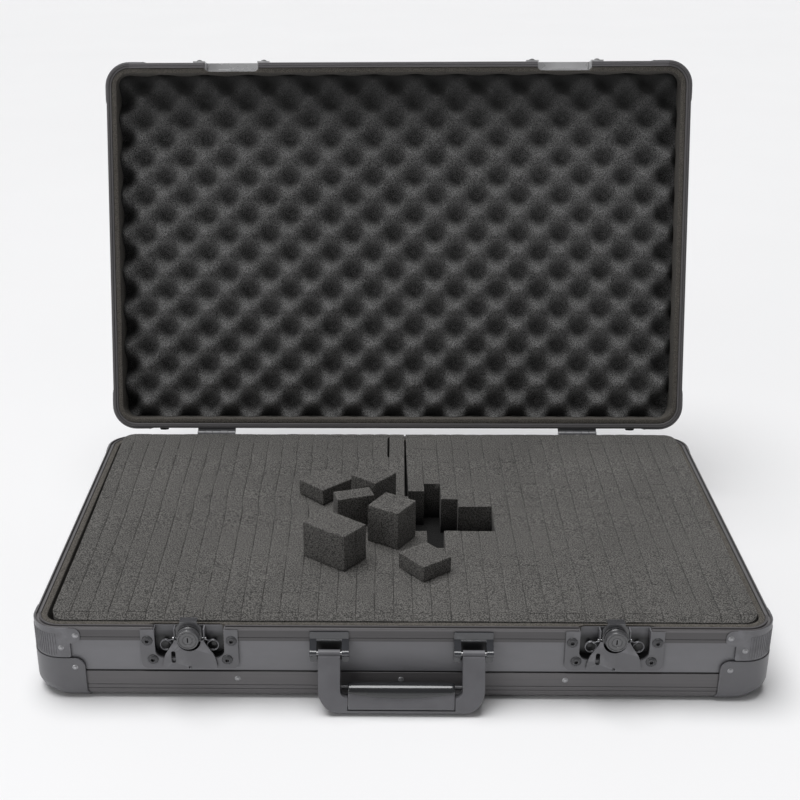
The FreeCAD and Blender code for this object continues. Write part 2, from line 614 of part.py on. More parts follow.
def handle_brackets():
    """Riveted plates whose lower ends roll round the handle pin each side of the arm."""
    plate = prism_y(-PLATE_T, 0.0, rectangle(-PLATE_HALF, PLATE_HALF, PLATE_LOW, PLATE_HIGH, 1.0))
    opening = box(-WINDOW_HALF, WINDOW_HALF, -20.0, 1.0, PLATE_LOW - 1.0, WINDOW_HIGH)
    hood = prism_x(-PLATE_HALF, PLATE_HALF, [
        (0.0, BASE_H - 9.0), (HANDLE_Y, HANDLE_Z + BRACKET_KNUCKLE_R), (HANDLE_Y, HANDLE_Z),
        (0.0, HANDLE_Z - 4.0)])
    roll = rod(BRACKET_KNUCKLE_R, (-PLATE_HALF, HANDLE_Y, HANDLE_Z), (PLATE_HALF, HANDLE_Y, HANDLE_Z))
    bore = rod(HANDLE_PIN_R, (-PLATE_HALF, HANDLE_Y, HANDLE_Z), (PLATE_HALF, HANDLE_Y, HANDLE_Z))
    front = box(-WINDOW_HALF, WINDOW_HALF, -20.0, -PLATE_T, WINDOW_HIGH, PLATE_HIGH)
    fold_z = WINDOW_HIGH + FOLD_R
    fold = rod(FOLD_R, (-WINDOW_HALF, -PLATE_T, fold_z), (WINDOW_HALF, -PLATE_T, fold_z))
    bracket = joined([joined([plate, hood, roll]).cut([opening, bore, front]), fold])
    return mirrored_x([moved(bracket, x=HANDLE_X)])


def handle_pins():
    return mirrored_x([rod(HANDLE_PIN_R, (HANDLE_X - PLATE_HALF, HANDLE_Y, HANDLE_Z),
                           (HANDLE_X + PLATE_HALF, HANDLE_Y, HANDLE_Z))])


# ---- foam ----
POCKET_X, POCKET_Y = 12.0, 199.0    # left edge and front edge of the plucked pocket
POCKET_CELLS = [(0, 5), (-2, 8), (0, 4), (0, 3), (0, 3)]   # first row and number of rows, by column


def foam_base_pad():
    floor_top = CAP_T + PROFILE_T + FLOOR_T
    return [box(-356.0, 360.0, INNER + 0.5, CASE_D - INNER - 1.0, floor_top, PLUCK_BOTTOM)]


def pluck_foam():
    block = box(-356.0, 360.0, INNER + 0.5, CASE_D - INNER - 1.0, PLUCK_BOTTOM, PLUCK_TOP)
    columns = []
    for i, (row, count) in enumerate(POCKET_CELLS):
        x, y = POCKET_X + i * PLUCK, POCKET_Y + row * PLUCK
        columns.append(box(x, x + PLUCK, y, y + count * PLUCK, PLUCK_BOTTOM - 1.0, PLUCK_TOP + 1.0))
    return [block.cut(joined(columns))]


# centre, size along its own two axes, height, turn: plucked blocks lying on the foam
LOOSE_BLOCKS = [(-87.5, 295.0, 42.0, 45.0, 19.0, -46.0), (-29.0, 254.0, 37.0, 36.0, 43.0, -40.0),
                (-52.0, 213.0, 42.0, 18.0, 40.0, 18.0), (-9.6, 181.0, 39.0, 38.0, 43.0, -32.0),
                (-70.0, 137.0, 54.0, 36.0, 41.0, -38.0), (26.0, 109.0, 40.0, 36.0, 18.0, -52.0)]


def loose_foam_blocks():
    blocks = []
    for x, y, length, width, height, turn in LOOSE_BLOCKS:
        block = box(-length / 2, length / 2, -width / 2, width / 2, 0.0, height)
        blocks.append(moved(turned(block, (0, 0, 0), (0, 0, 1), turn), x, y, PLUCK_TOP))
    return blocks


EGG_PEAK = 13.0          # foam peaks below the lid's rim


def egg_crate_foam(height):
    low = CAP_T + PROFILE_T + FLOOR_T
    edge = INNER + 0.5
    return [box(-HALF_W + edge, HALF_W - edge, edge, CASE_D - edge, low, height - EGG_PEAK)]


# ---- bringing it together ----
def tray(name, height, edge_height, cap_height, bracket_drop, tongue, gap):
    """The pieces both trays share, standing on their caps with the rim up."""
    length, depth = HALF_W - CORNER_R, CASE_D / 2 - CORNER_R
    profile_end = 15.0
    outer_panel = "_floor_panel" if name == "base" else "_top_panel"
    rear = wall_panel(length, height).mirror(V(0, CASE_D / 2, 0), V(0, 1, 0))
    long_edge = edge_profiles(length - profile_end, edge_height)
    short_edge = on_right_wall(edge_profiles(depth - profile_end, edge_height))
    return {
        name + outer_panel: floor_panel(),
        name + "_front_panel": [wall_panel(length, height)],
        name + "_rear_panel": [rear],
        name + "_side_panels": mirrored_x([on_right_wall(wall_panel(depth, height))]),
        name + "_corner_posts": corner_posts(height),
        name + "_long_edge_profiles": mirrored_y([long_edge]),
        name + "_short_edge_profiles": mirrored_x([short_edge]),
        name + "_rim_front": rim_front(height, tongue, gap),
        name + "_rim_rear": rim_rear(height, tongue),
        name + "_rim_sides": rim_sides(height, tongue),
        name + "_rim_corners": rim_corners(height, tongue),
        name + "_corner_caps": corner_caps(cap_height),
        name + "_rim_brackets": rim_brackets(height, bracket_drop),
    }


def base_parts():
    gap = RECESS_HALF + 1.3
    parts = tray("base", BASE_H, BASE_EDGE, BASE_CAP_H, BASE_BRACKET_H, False, gap)
    recess_low = BASE_H - RECESS_LOW - 1.3
    front = latch_cut(parts["base_front_panel"][0], gap, PANEL_T + 5.0, recess_low)
    parts["base_front_panel"] = [front]
    parts["base_rivets"] = corner_rivets(BASE_H, BASE_CAP_H) + edge_rivets(24.0) + hinge_rivets()
    parts["base_rear_feet"] = rear_feet(42.0)
    floor_top = CAP_T + PROFILE_T + FLOOR_T
    parts["base_lining"] = lining(floor_top, BASE_H - 0.3, gap, RECESS_DEEP + 1.2, recess_low)
    parts["foam_base_pad"] = foam_base_pad()
    parts["pluck_foam"] = pluck_foam()
    parts["loose_foam_blocks"] = loose_foam_blocks()
    parts["handle_brackets"] = handle_brackets()
    parts["handle_pins"] = handle_pins()
    parts["latch_dishes"] = latch_dishes()
    parts["latch_saddles"] = latch_saddles()
    parts["latch_springs"] = latch_springs()
    parts["latch_cross_shafts"] = cross_shafts()
    parts["latch_rivets"] = latch_rivets()
    parts["hinge_base_leaves"] = base_leaves()
    parts["hinge_pins"] = hinge_pins()
    return parts


def moving_parts():
    parts = {"handle_frame": hung([handle_frame()]), "handle_grip_upper": hung([grip_upper()]),
             "handle_grip_lower": hung([grip_lower()]), "handle_grip_pins": hung(grip_pins())}
    for side, name in ((-1, "left"), (1, "right")):
        for piece, shape in (("hook", hook()), ("knob", knob()), ("lock_core", lock_core())):
            parts["latch_" + piece + "_" + name] = [moved(shape, x=side * LATCH_X)]
    return parts


def lid_parts():
    gap = KEEPER_HALF + 1.3
    parts = tray("lid", LID_H, LID_EDGE, LID_CAP_H, LID_BRACKET_H, True, gap)
    front = latch_cut(parts["lid_front_panel"][0], gap, PANEL_T + 5.0, LID_H - KEEPER_H - 1.3)
    parts["lid_front_panel"] = [front]
    parts["lid_rivets"] = corner_rivets(LID_H, LID_CAP_H) + edge_rivets(15.0)
    parts["lid_rear_feet"] = rear_feet(30.0)
    floor_top = CAP_T + PROFILE_T + FLOOR_T
    parts["lid_lining"] = lining(floor_top, LID_H - 0.3, gap, KEEPER_DEEP + 1.2, LID_H - KEEPER_H - 1.3)
    parts["lid_egg_crate_foam"] = egg_crate_foam(LID_H)
    parts["keeper_dishes"] = keeper_dishes(LID_H)
    parts["keeper_rivets"] = keeper_rivets(LID_H)
    turned_over = {name: [shape.mirror(V(0, 0, SHUT_H / 2), V(0, 0, 1)) for shape in shapes]
                   for name, shapes in parts.items()}
    turned_over["hinge_lid_leaves"] = lid_leaves()
    return {name: [turned(shape, (0, HINGE_Y, HINGE_Z), (-1, 0, 0), OPEN_ANGLE) for shape in shapes]
            for name, shapes in turned_over.items()}


def main():
    os.makedirs("parts", exist_ok=True)
    nodes = {**base_parts(), **moving_parts(), **lid_parts()}
    whole = Part.makeCompound([shape for shapes in nodes.values() for shape in shapes])
    bound = whole.optimalBoundingBox(False, False)
    middle = (bound.YMin + bound.YMax) / 2
    for name, shapes in nodes.items():
        solids = [moved(solid, y=-middle) for shape in shapes for solid in shape.Solids]
        body = solids[0] if len(solids) == 1 else Part.makeCompound(solids)
        body.exportStep("parts/" + name + ".step")
        bad = [s for s in solids if not s.isValid()]
        volume = sum(solid.Volume for solid in solids) / 1000.0
        print(name, len(solids), "INVALID" if bad else "", round(volume, 2), "cm3")
    print("nodes", len(nodes), "whole", bound)
    print("y of the base front face", -middle)


main()
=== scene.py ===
"""Looks of a foam-lined carry case standing open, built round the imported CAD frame.

Everything is in metres in the frame's own axes.  Dimensions below are in millimetres unless a
name says otherwise, and are measured in a tray: X along the front from the middle, Y from the
outer front face to the rear, Z up from the corner caps.
"""
import json
import math

import bmesh
import bpy
import numpy as np
from mathutils import Matrix, Vector, noise


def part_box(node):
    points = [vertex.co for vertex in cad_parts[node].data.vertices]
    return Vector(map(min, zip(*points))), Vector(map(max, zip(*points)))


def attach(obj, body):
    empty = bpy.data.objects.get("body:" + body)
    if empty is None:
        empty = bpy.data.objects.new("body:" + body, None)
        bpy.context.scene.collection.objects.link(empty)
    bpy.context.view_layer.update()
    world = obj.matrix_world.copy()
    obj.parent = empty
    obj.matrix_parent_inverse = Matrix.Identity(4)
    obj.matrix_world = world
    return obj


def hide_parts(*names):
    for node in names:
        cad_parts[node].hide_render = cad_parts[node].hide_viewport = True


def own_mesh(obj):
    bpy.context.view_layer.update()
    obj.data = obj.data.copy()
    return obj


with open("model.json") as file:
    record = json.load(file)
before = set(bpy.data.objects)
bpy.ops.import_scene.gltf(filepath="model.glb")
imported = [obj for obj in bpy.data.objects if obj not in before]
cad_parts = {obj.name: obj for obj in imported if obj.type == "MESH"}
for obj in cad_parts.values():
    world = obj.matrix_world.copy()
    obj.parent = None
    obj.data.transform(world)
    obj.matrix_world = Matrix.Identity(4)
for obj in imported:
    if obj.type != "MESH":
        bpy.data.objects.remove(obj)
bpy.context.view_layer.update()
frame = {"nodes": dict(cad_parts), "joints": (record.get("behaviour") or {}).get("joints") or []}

NODES = frame["nodes"]
MM = 0.001

# ---- where the trays are, from the frame ----
FRONT_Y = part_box("base_rim_front")[0].y
REAR_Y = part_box("base_rim_rear")[1].y
HALF_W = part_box("base_rim_sides")[1].x / MM
DEPTH = (REAR_Y - FRONT_Y) / MM
BASE_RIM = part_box("base_rim_sides")[1].z / MM
LID_HINGE = next(j for j in frame["joints"] if j["name"] == "lid_hinge")
HINGE = Vector(LID_HINGE["pos_m"])
OPEN_ANGLE = -LID_HINGE["range_deg"][0]
LID_RIM = 56.0
SEAM_HALF = 0.2
LID_TOP_SHUT = HINGE.z / MM + SEAM_HALF + LID_RIM

CORNER_R = 30.0
RIM_T = 6.5
LINING_T = 6.5
INNER = RIM_T + LINING_T
FLOOR_TOP = 7.3
LATCH_X = 213.5

OPENED = (Matrix.Translation(HINGE) @ Matrix.Rotation(-math.radians(OPEN_ANGLE), 4, "X")
          @ Matrix.Translation(-HINGE))


def in_base(points):
    """Tray points to the frame, for the base."""
    points = np.asarray(points, float)
    return points * MM + np.array([0.0, FRONT_Y, 0.0])


def in_lid(points):
    """Tray points to the frame, for the lid: turned over, shut, then swung open."""
    points = np.asarray(points, float)
    shut = points * np.array([1.0, 1.0, -1.0]) + np.array([0.0, 0.0, LID_TOP_SHUT])
    shut = shut * MM + np.array([0.0, FRONT_Y, 0.0])
    turn = np.array(OPENED)
    return shut @ turn[:3, :3].T + turn[:3, 3]


# ---- mesh helpers ----
DOUBLED, BEVEL_ANGLE = 1e-6, 30.0    # metres and degrees


def add_mesh(name, points, faces):
    mesh = bpy.data.meshes.new(name)
    mesh.from_pydata([tuple(p) for p in points], [], [tuple(f) for f in faces])
    made = bpy.data.objects.new(name, mesh)
    bpy.context.scene.collection.objects.link(made)
    close_up(made)
    return made


def close_up(made):
    """Merges doubled points and turns every face outward."""
    work = bmesh.new()
    work.from_mesh(made.data)
    bmesh.ops.remove_doubles(work, verts=work.verts, dist=DOUBLED)
    bmesh.ops.recalc_face_normals(work, faces=work.faces)
    for face in work.faces:
        face.smooth = True
    work.to_mesh(made.data)
    work.free()


def grid_faces(rows, columns, start=0, wrap=False):
    """Faces of a grid of points stored row by row."""
    faces = []
    for i in range(rows - 1):
        for j in range(columns - (0 if wrap else 1)):
            k = (j + 1) % columns
            a, b = start + i * columns, start + (i + 1) * columns
            faces.append((a + j, a + k, b + k, b + j))
    return faces


def sharp_by_angle(made, degrees=35.0):
    """Marks edges that turn by more than an angle as sharp."""
    work = bmesh.new()
    work.from_mesh(made.data)
    limit = math.radians(degrees)
    for edge in work.edges:
        edge.smooth = len(edge.link_faces) == 2 and edge.calc_face_angle() < limit
    work.to_mesh(made.data)
    work.free()


def bevelled(made, width):
    """Small rounded edges, made by modifiers only."""
    weld = made.modifiers.new("Weld", "WELD")
    weld.merge_threshold = 2 * DOUBLED
    bevel = made.modifiers.new("Bevel", "BEVEL")
    bevel.width = width * MM
    bevel.segments = 2
    bevel.limit_method = "ANGLE"
    bevel.angle_limit = math.radians(BEVEL_ANGLE)
    bevel.use_clamp_overlap = True
    weighted = made.modifiers.new("Normals", "WEIGHTED_NORMAL")
    weighted.keep_sharp = False


def tube(path, radius, sides=10):
    """Points and faces of a round wire along a path, with flat ends."""
    count = len(path)
    ahead = np.gradient(path, axis=0)
    ahead /= np.linalg.norm(ahead, axis=1)[:, None]
    side = np.cross(ahead[0], [0.3, 0.5, 0.81])
    points = []
    for i in range(count):
        side = side - ahead[i] * (side @ ahead[i])
        side /= np.linalg.norm(side)
        other = np.cross(ahead[i], side)
        for k in range(sides):
            angle = 2 * math.pi * k / sides
            points.append(path[i] + radius * (math.cos(angle) * side + math.sin(angle) * other))
    faces = grid_faces(count, sides, wrap=True)
    faces += [tuple(range(sides)), tuple((count - 1) * sides + k for k in range(sides))]
    return np.array(points), faces


def wobble(points, size, scale, seed):
    """Slow, repeatable random offset of each point; size and scale in mm."""
    shift = Vector((seed * 13.7, seed * 5.1, seed * 9.3))
    return np.array([np.array(noise.noise_vector(Vector(p) / scale + shift)) * size for p in points])


# ---- material helpers ----
class Surface:
    """A node material whose sockets are filled one by one."""

    def __init__(self, name, colour, roughness, **sockets):
        self.material = bpy.data.materials.new(name)
        self.material.use_nodes = True
        self.tree = self.material.node_tree
        self.shader = self.tree.nodes["Principled BSDF"]
        self.shader.inputs["Base Color"].default_value = (*colour, 1.0)
        self.shader.inputs["Roughness"].default_value = roughness
        for socket, value in sockets.items():
            self.shader.inputs[socket.replace("_", " ")].default_value = value
        self.normal = None

    def node(self, kind, inputs=None, **settings):
        made = self.tree.nodes.new(kind)
        for key, value in settings.items():
            setattr(made, key, value)
        for key, value in (inputs or {}).items():
            if isinstance(value, bpy.types.NodeSocket):
                self.tree.links.new(value, made.inputs[key])
            else:
                made.inputs[key].default_value = value
        return made

    def place(self, scale=(1.0, 1.0, 1.0), turn=(0.0, 0.0, 0.0)):
        """Object coordinates, turned and then stretched."""
        coords = self.node("ShaderNodeTexCoord").outputs["Object"]
        if any(turn):
            coords = self.node("ShaderNodeMapping", {"Vector": coords, "Rotation": turn}).outputs[0]
        return self.node("ShaderNodeMapping", {"Vector": coords, "Scale": scale}).outputs[0]

    def noise(self, scale, detail=3.0, roughness=0.55, vector=None):
        vector = vector if vector is not None else self.place()
        return self.node("ShaderNodeTexNoise", {
            "Vector": vector, "Scale": scale, "Detail": detail,
            "Roughness": roughness}).outputs["Fac"]

    def cells(self, scale, vector=None):
        vector = vector if vector is not None else self.place()
        return self.node("ShaderNodeTexVoronoi", {
            "Vector": vector, "Scale": scale}).outputs["Distance"]

    def spread(self, value, low, high, out_low=0.0, out_high=1.0):
        return self.node("ShaderNodeMapRange", {
            "Value": value, "From Min": low, "From Max": high,
            "To Min": out_low, "To Max": out_high}).outputs[0]

    def sum(self, first, second, operation="ADD"):
        return self.node("ShaderNodeMath", {0: first, 1: second}, operation=operation).outputs[0]

    def colours(self, factor, low, high):
        mix = self.node("ShaderNodeMix", data_type="RGBA")
        self.tree.links.new(factor, mix.inputs["Factor"])
        for key, value in (("A", low), ("B", high)):
            socket = [s for s in mix.inputs if s.name == key and s.type == "RGBA"][0]
            if isinstance(value, bpy.types.NodeSocket):
                self.tree.links.new(value, socket)
            else:
                socket.default_value = (*value, 1.0)
        return [s for s in mix.outputs if s.type == "RGBA"][0]

    def paint(self, socket, value):
        self.tree.links.new(value, self.shader.inputs[socket])
        return self

    def bump(self, height, distance, strength=1.0):
        """Adds a bump on top of earlier ones; distance in mm."""
        made = self.node("ShaderNodeBump", {
            "Height": height, "Distance": distance * MM, "Strength": strength})
        if self.normal is not None:
            self.tree.links.new(self.normal, made.inputs["Normal"])
        self.normal = made.outputs[0]
        self.tree.links.new(self.normal, self.shader.inputs["Normal"])
        return self


# painted shade colours: black for deep shade, a dim grey for foam in shadow
SHADE_BLACK = (0.006, 0.006, 0.007)
SHADOW_FOAM = (0.030, 0.030, 0.030)


def crevice_shade(surface, colour, distance, dark=0.12):
    """Painted shade: darkens a colour where other surfaces come close."""
    occlusion = surface.node("ShaderNodeAmbientOcclusion", {"Distance": distance * MM}, samples=6)
    factor = surface.spread(occlusion.outputs["AO"], 0.25, 0.85)
    scaled = surface.node("ShaderNodeMix", data_type="RGBA", blend_type="MULTIPLY")
    scaled.inputs["Factor"].default_value = 1.0
    first, second = [s for s in scaled.inputs if s.type == "RGBA"][:2]
    surface.tree.links.new(colour, first)
    second.default_value = (dark, dark, dark, 1.0)
    darkened = [s for s in scaled.outputs if s.type == "RGBA"][0]
    return surface.colours(factor, darkened, colour)


def worn_and_highlit_edges(surface, amount, light, colour):
    """Lightens convex edges a little, by the mesh's pointiness: rubbed wear and painted highlight."""
    point = surface.node("ShaderNodeNewGeometry").outputs["Pointiness"]
    patchy = surface.noise(90.0, 4.0)
    edge = surface.spread(point, 0.53, 0.6, 0.0, amount)
    edge = surface.sum(edge, surface.spread(patchy, 0.35, 0.7), "MULTIPLY")
    return surface.colours(edge, colour, light)


def along(surface, axis, start, end):
    """0 at start rising to 1 at end along one axis of the frame, both in mm."""
    axes = surface.node("ShaderNodeSeparateXYZ", {0: surface.node("ShaderNodeTexCoord").outputs["Object"]})
    return surface.spread(axes.outputs[axis], start * MM, end * MM)


def within(surface, axis, low, high, edge=0.4):
    """1 between low and high along one axis of the frame, in mm."""
    rise = along(surface, axis, low - edge, low)
    fall = along(surface, axis, high + edge, high)
    return surface.sum(rise, fall, "MULTIPLY")


def blended(surface, colour, other, *masks):
    """Turns into the other colour where every mask is 1."""
    share = masks[0]
    for mask in masks[1:]:
        share = surface.sum(share, mask, "MULTIPLY")
    return surface.colours(share, colour, other)


def foam_dye_and_shade(name, dark, light, grain, depth, hollow_shade=0.0, painted_shade=None, painted_shadow=None):
    """Open-cell foam: pores at two sizes and slow shade changes.

    Options for painted shade, all in mm: darker in its hollows within a given distance, black
    between two heights, and a dim painted shadow between two other heights."""
    made = Surface(name, light, 0.95, Specular_IOR_Level=0.12, Sheen_Weight=0.06, Sheen_Roughness=0.6)
    coarse = made.spread(made.noise(1000.0 / grain, 1.0, 0.5), 0.44, 0.56)
    pores = made.spread(made.cells(1250.0 / grain), 0.08, 0.7)
    slow = made.spread(made.noise(9.0, 3.0, 0.5), 0.3, 0.7)
    speck = made.sum(made.sum(coarse, 0.66, "MULTIPLY"), made.sum(pores, 0.34, "MULTIPLY"))
    tone = made.sum(made.sum(speck, 0.9, "MULTIPLY"), made.sum(slow, 0.1, "MULTIPLY"))
    colour = made.colours(tone, dark, light)
    if hollow_shade:
        colour = crevice_shade(made, colour, hollow_shade, 0.06)
    if painted_shadow:
        colour = blended(made, colour, SHADOW_FOAM, along(made, "Z", *painted_shadow))
    if painted_shade:
        colour = blended(made, colour, SHADE_BLACK, along(made, "Z", *painted_shade))
    made.paint("Base Color", colour)
    made.bump(speck, depth, 0.9)
    return made.material


STREAK = 0.12    # how much the drawing lines vary in shade


def brushed(name, colour, roughness, turn=(0.0, 0.0, 0.0), gleam=None, **sockets):
    """Metal with faint drawing lines along its length and painted shade in crevices.

    gleam, where given, paints a highlight band between two heights in mm.
    """
    made = Surface(name, colour, roughness, **sockets)
    along = made.place((1.5, 220.0, 220.0), turn)
    lines = made.noise(3.0, 4.0, 0.6, along)
    cloud = made.noise(14.0, 3.0)
    shade = made.sum(made.spread(lines, 0.3, 0.7, 0.0, 0.6), made.spread(cloud, 0.3, 0.7, 0.0, 0.4))
    low = tuple(c * (1.0 - STREAK) for c in colour)
    high = tuple(c * (1.0 + STREAK) for c in colour)
    base = crevice_shade(made, made.colours(shade, low, high), 2.0)
    if gleam:
        base = blended(made, base, tuple(c * 1.7 for c in colour), within(made, "Z", *gleam))
    made.paint("Base Color", base)
    made.paint("Roughness", made.spread(lines, 0.25, 0.75, roughness - 0.06, roughness + 0.08))
    made.bump(lines, 0.02, 0.5)
    return made.material


def painted_metal(name, colour, roughness, orange_peel=0.03, edge_wear_and_highlight=0.25, painted_shade=(), **sockets):
    """Satin powder coat: orange peel, mottled gloss, rubbed and highlit edges, painted shade, black in deep
    places.
    """
    made = Surface(name, colour, roughness, **sockets)
    peel = made.noise(520.0, 2.0)
    cloud = made.noise(22.0, 4.0)
    low = tuple(c * 0.86 for c in colour)
    high = tuple(c * 1.12 for c in colour)
    base = made.colours(made.spread(cloud, 0.3, 0.7), low, high)
    base = crevice_shade(made, base, 2.5)
    base = worn_and_highlit_edges(made, edge_wear_and_highlight, tuple(min(1.0, c * 3.0 + 0.05) for c in colour), base)
    if painted_shade:
        base = blended(made, base, SHADE_BLACK, *(along(made, *span) for span in painted_shade))
    made.paint("Base Color", base)
    made.paint("Roughness", made.spread(cloud, 0.25, 0.75, roughness - 0.05, roughness + 0.07))
    made.bump(peel, orange_peel, 0.6)
    return made.material


def moulded(name, colour, roughness, grain=0.02, **sockets):
    """Moulded plastic with a fine spark-eroded texture."""
    made = Surface(name, colour, roughness, **sockets)
    texture = made.noise(1400.0, 2.0, 0.6)
    cloud = made.noise(30.0, 3.0)
    low = tuple(c * 0.88 for c in colour)
    high = tuple(c * 1.12 for c in colour)
    made.paint("Base Color", made.colours(made.spread(cloud, 0.3, 0.7), low, high))
    made.paint("Roughness", made.spread(texture, 0.3, 0.7, roughness - 0.05, roughness + 0.05))
    made.bump(texture, grain, 0.6)
    return made.material


HANDLE_X, WINDOW_HALF, WINDOW_SPAN = 72.4, 12.5, (46.5, 70.0)   # painted shade on the panel behind the bracket windows
SEAM_SPAN = (31.6, 33.2)    # shadow above the base's edge profiles


def laminate():
    """Satin laminate face with a fine pebble and faint smears.

    Painted shade: in crevices, a black line above the base's edge profiles, and black on the
    panel behind the handle brackets' windows.
    """
    colour = (0.170, 0.169, 0.181)
    made = Surface("laminate", colour, 0.42, Specular_IOR_Level=0.7)
    pebble = made.cells(1150.0)
    fine = made.noise(1800.0, 2.0)
    smear = made.noise(11.0, 4.0, 0.6, made.place((1.0, 1.0, 2.5)))
    low = tuple(c * 0.9 for c in colour)
    high = tuple(c * 1.1 for c in colour)
    base = made.colours(made.spread(smear, 0.3, 0.7), low, high)
    base = crevice_shade(made, base, 2.5)
    base = blended(made, base, SHADE_BLACK, within(made, "Z", *SEAM_SPAN))
    # painted black shade on the panel behind each handle bracket's window
    for side in (-1, 1):
        middle = side * HANDLE_X
        across = within(made, "X", middle - WINDOW_HALF, middle + WINDOW_HALF)
        upright = within(made, "Z", *WINDOW_SPAN)
        front_only = along(made, "Y", FRONT_Y / MM + 9.0, FRONT_Y / MM + 7.0)
        base = blended(made, base, SHADE_BLACK, across, upright, front_only)
    made.paint("Base Color", base)
    made.paint("Roughness", made.spread(smear, 0.25, 0.75, 0.36, 0.5))
    made.bump(made.sum(pebble, made.spread(fine, 0.2, 0.8, 0.0, 0.5)), 0.035, 0.5)
    return made.material


ALONG_Y = (0.0, 0.0, math.radians(90.0))
ALONG_LID = (math.radians(OPEN_ANGLE), 0.0, math.radians(90.0))
EXTRUSION = (0.128, 0.123, 0.127)
RIM_COLOUR = (0.088, 0.084, 0.087)
LID_EXTRUSION = (0.185, 0.178, 0.186)
RIM_GLEAM = (81.4, 83.2)    # where the base rim's rounded edge catches the light, mm
# painted black shade deep in each latch dish's recess
RECESS_SHADE = (("Y", FRONT_Y / MM + 0.4, FRONT_Y / MM + 2.4), ("Z", 76.5, 69.0))
MATERIALS = {
    "laminate": laminate(),
    "extrusion": brushed("extrusion", EXTRUSION, 0.38, Metallic=0.0, Specular_IOR_Level=0.45),
    "rim": brushed("rim", RIM_COLOUR, 0.38, gleam=RIM_GLEAM, Specular_IOR_Level=0.45),
    "rim_lid": brushed("rim_lid", LID_EXTRUSION, 0.34, Specular_IOR_Level=0.5),
    "extrusion_side": brushed("extrusion_side", EXTRUSION, 0.38, ALONG_Y, Specular_IOR_Level=0.45),
    "extrusion_lid_side": brushed("extrusion_lid_side", EXTRUSION, 0.38, ALONG_LID,
                                  Specular_IOR_Level=0.45),
    "corner": painted_metal("corner", (0.112, 0.111, 0.120), 0.40, Specular_IOR_Level=0.7),
    "latch": painted_metal("latch", (0.115, 0.114, 0.123), 0.38, Specular_IOR_Level=0.7),
    "dish": painted_metal("dish", (0.115, 0.114, 0.123), 0.38, painted_shade=RECESS_SHADE, Specular_IOR_Level=0.7),
    "bracket": painted_metal("bracket", (0.034, 0.036, 0.042), 0.2, 0.01, 0.6, Specular_IOR_Level=1.0),
    "hook": painted_metal("hook", (0.050, 0.050, 0.054), 0.25, 0.015, Specular_IOR_Level=1.0),
    "knob": painted_metal("knob", (0.060, 0.060, 0.064), 0.25, 0.015, Specular_IOR_Level=1.0),
    "wire": painted_metal("wire", (0.14, 0.14, 0.148), 0.3, 0.01, 0.9, Metallic=0.7),
    "hinge": painted_metal("hinge", (0.150, 0.150, 0.158), 0.38, Specular_IOR_Level=0.8),
    "rivet": painted_metal("rivet", (0.30, 0.30, 0.31), 0.38, 0.01, 0.5, Metallic=0.5),
    "rivet_dark": painted_metal("rivet_dark", (0.05, 0.05, 0.053), 0.35, 0.01, 0.5),
    "eyelet": painted_metal("eyelet", (0.052, 0.052, 0.056), 0.26, 0.01, 0.9),
    "rim_bright": painted_metal("rim_bright", (0.60, 0.60, 0.61), 0.30, 0.01, 0.9, Metallic=0.5),
    "keeper": painted_metal("keeper", (0.66, 0.66, 0.67), 0.28, 0.01, 0.9, Metallic=0.4),
    # near black for the eyelets' holes: painted shade
    "hollow_shade": moulded("hollow_shade", (0.006, 0.006, 0.006), 0.9),
    "steel": brushed("steel", (0.52, 0.52, 0.53), 0.28, Metallic=1.0),
    "handle": moulded("handle", (0.128, 0.127, 0.137), 0.50),
    "gloss": moulded("gloss", (0.016, 0.017, 0.019), 0.21, 0.004, Coat_Weight=0.8, Coat_Roughness=0.08),
    "rubber": moulded("rubber", (0.018, 0.018, 0.018), 0.75, 0.03),
    "lining": foam_dye_and_shade("lining", (0.036, 0.032, 0.028), (0.135, 0.125, 0.112), 1.0, 0.15),
    # pluck foam: painted black shade down the pocket and the deep cuts
    "pluck": foam_dye_and_shade("pluck", (0.008, 0.008, 0.008), (0.172, 0.166, 0.158), 1.3, 0.35, painted_shade=(74.0, 47.0)),
    # pocket: the base pad, near black, is painted shade at the bottom of the plucked pocket
    "pocket": foam_dye_and_shade("pocket", (0.004, 0.004, 0.004), (0.012, 0.012, 0.012), 1.3, 0.35),
    # egg crate: painted shade in its valleys and a painted shadow over its top rows, under the lid's rim
    "egg": foam_dye_and_shade("egg", (0.008, 0.008, 0.008), (0.212, 0.211, 0.210), 1.3, 0.35, hollow_shade=30.0,
                     painted_shadow=(440.0, 535.0)),
}


def dress(material, *names, bevel=0.0):
    """Gives CAD nodes a material and, where asked, a bevel."""
    for name in names:
        made = NODES[name]
        made.data.materials.clear()
        made.data.materials.append(MATERIALS[material])
        if bevel:
            bevelled(made, bevel)


dress("laminate", "base_floor_panel", "base_front_panel", "base_rear_panel", "base_side_panels",
      "base_corner_posts",
      "lid_top_panel", "lid_front_panel", "lid_rear_panel", "lid_side_panels", "lid_corner_posts")
dress("extrusion", "base_long_edge_profiles", "lid_long_edge_profiles", "lid_rim_rear", "lid_rim_corners")
dress("rim", "base_rim_front", "base_rim_rear", "base_rim_corners")
dress("rim_lid", "lid_rim_front")
dress("extrusion_side", "base_short_edge_profiles", "base_rim_sides")
dress("extrusion_lid_side", "lid_short_edge_profiles", "lid_rim_sides")
dress("corner", "base_rim_brackets", "lid_rim_brackets")
dress("rivet", "base_rivets")
dress("rivet_dark", "lid_rivets", "keeper_rivets")
dress("rubber", "base_rear_feet", "lid_rear_feet")
dress("handle", "handle_frame", bevel=0.5)
dress("bracket", "handle_brackets", bevel=0.35)
dress("rivet_dark", "handle_grip_pins")
dress("steel", "handle_pins", "hinge_pins", "latch_cross_shafts")
dress("latch", "latch_saddles", bevel=0.35)
dress("dish", "latch_dishes", bevel=0.35)
dress("hook", "latch_hook_left", "latch_hook_right", bevel=0.35)
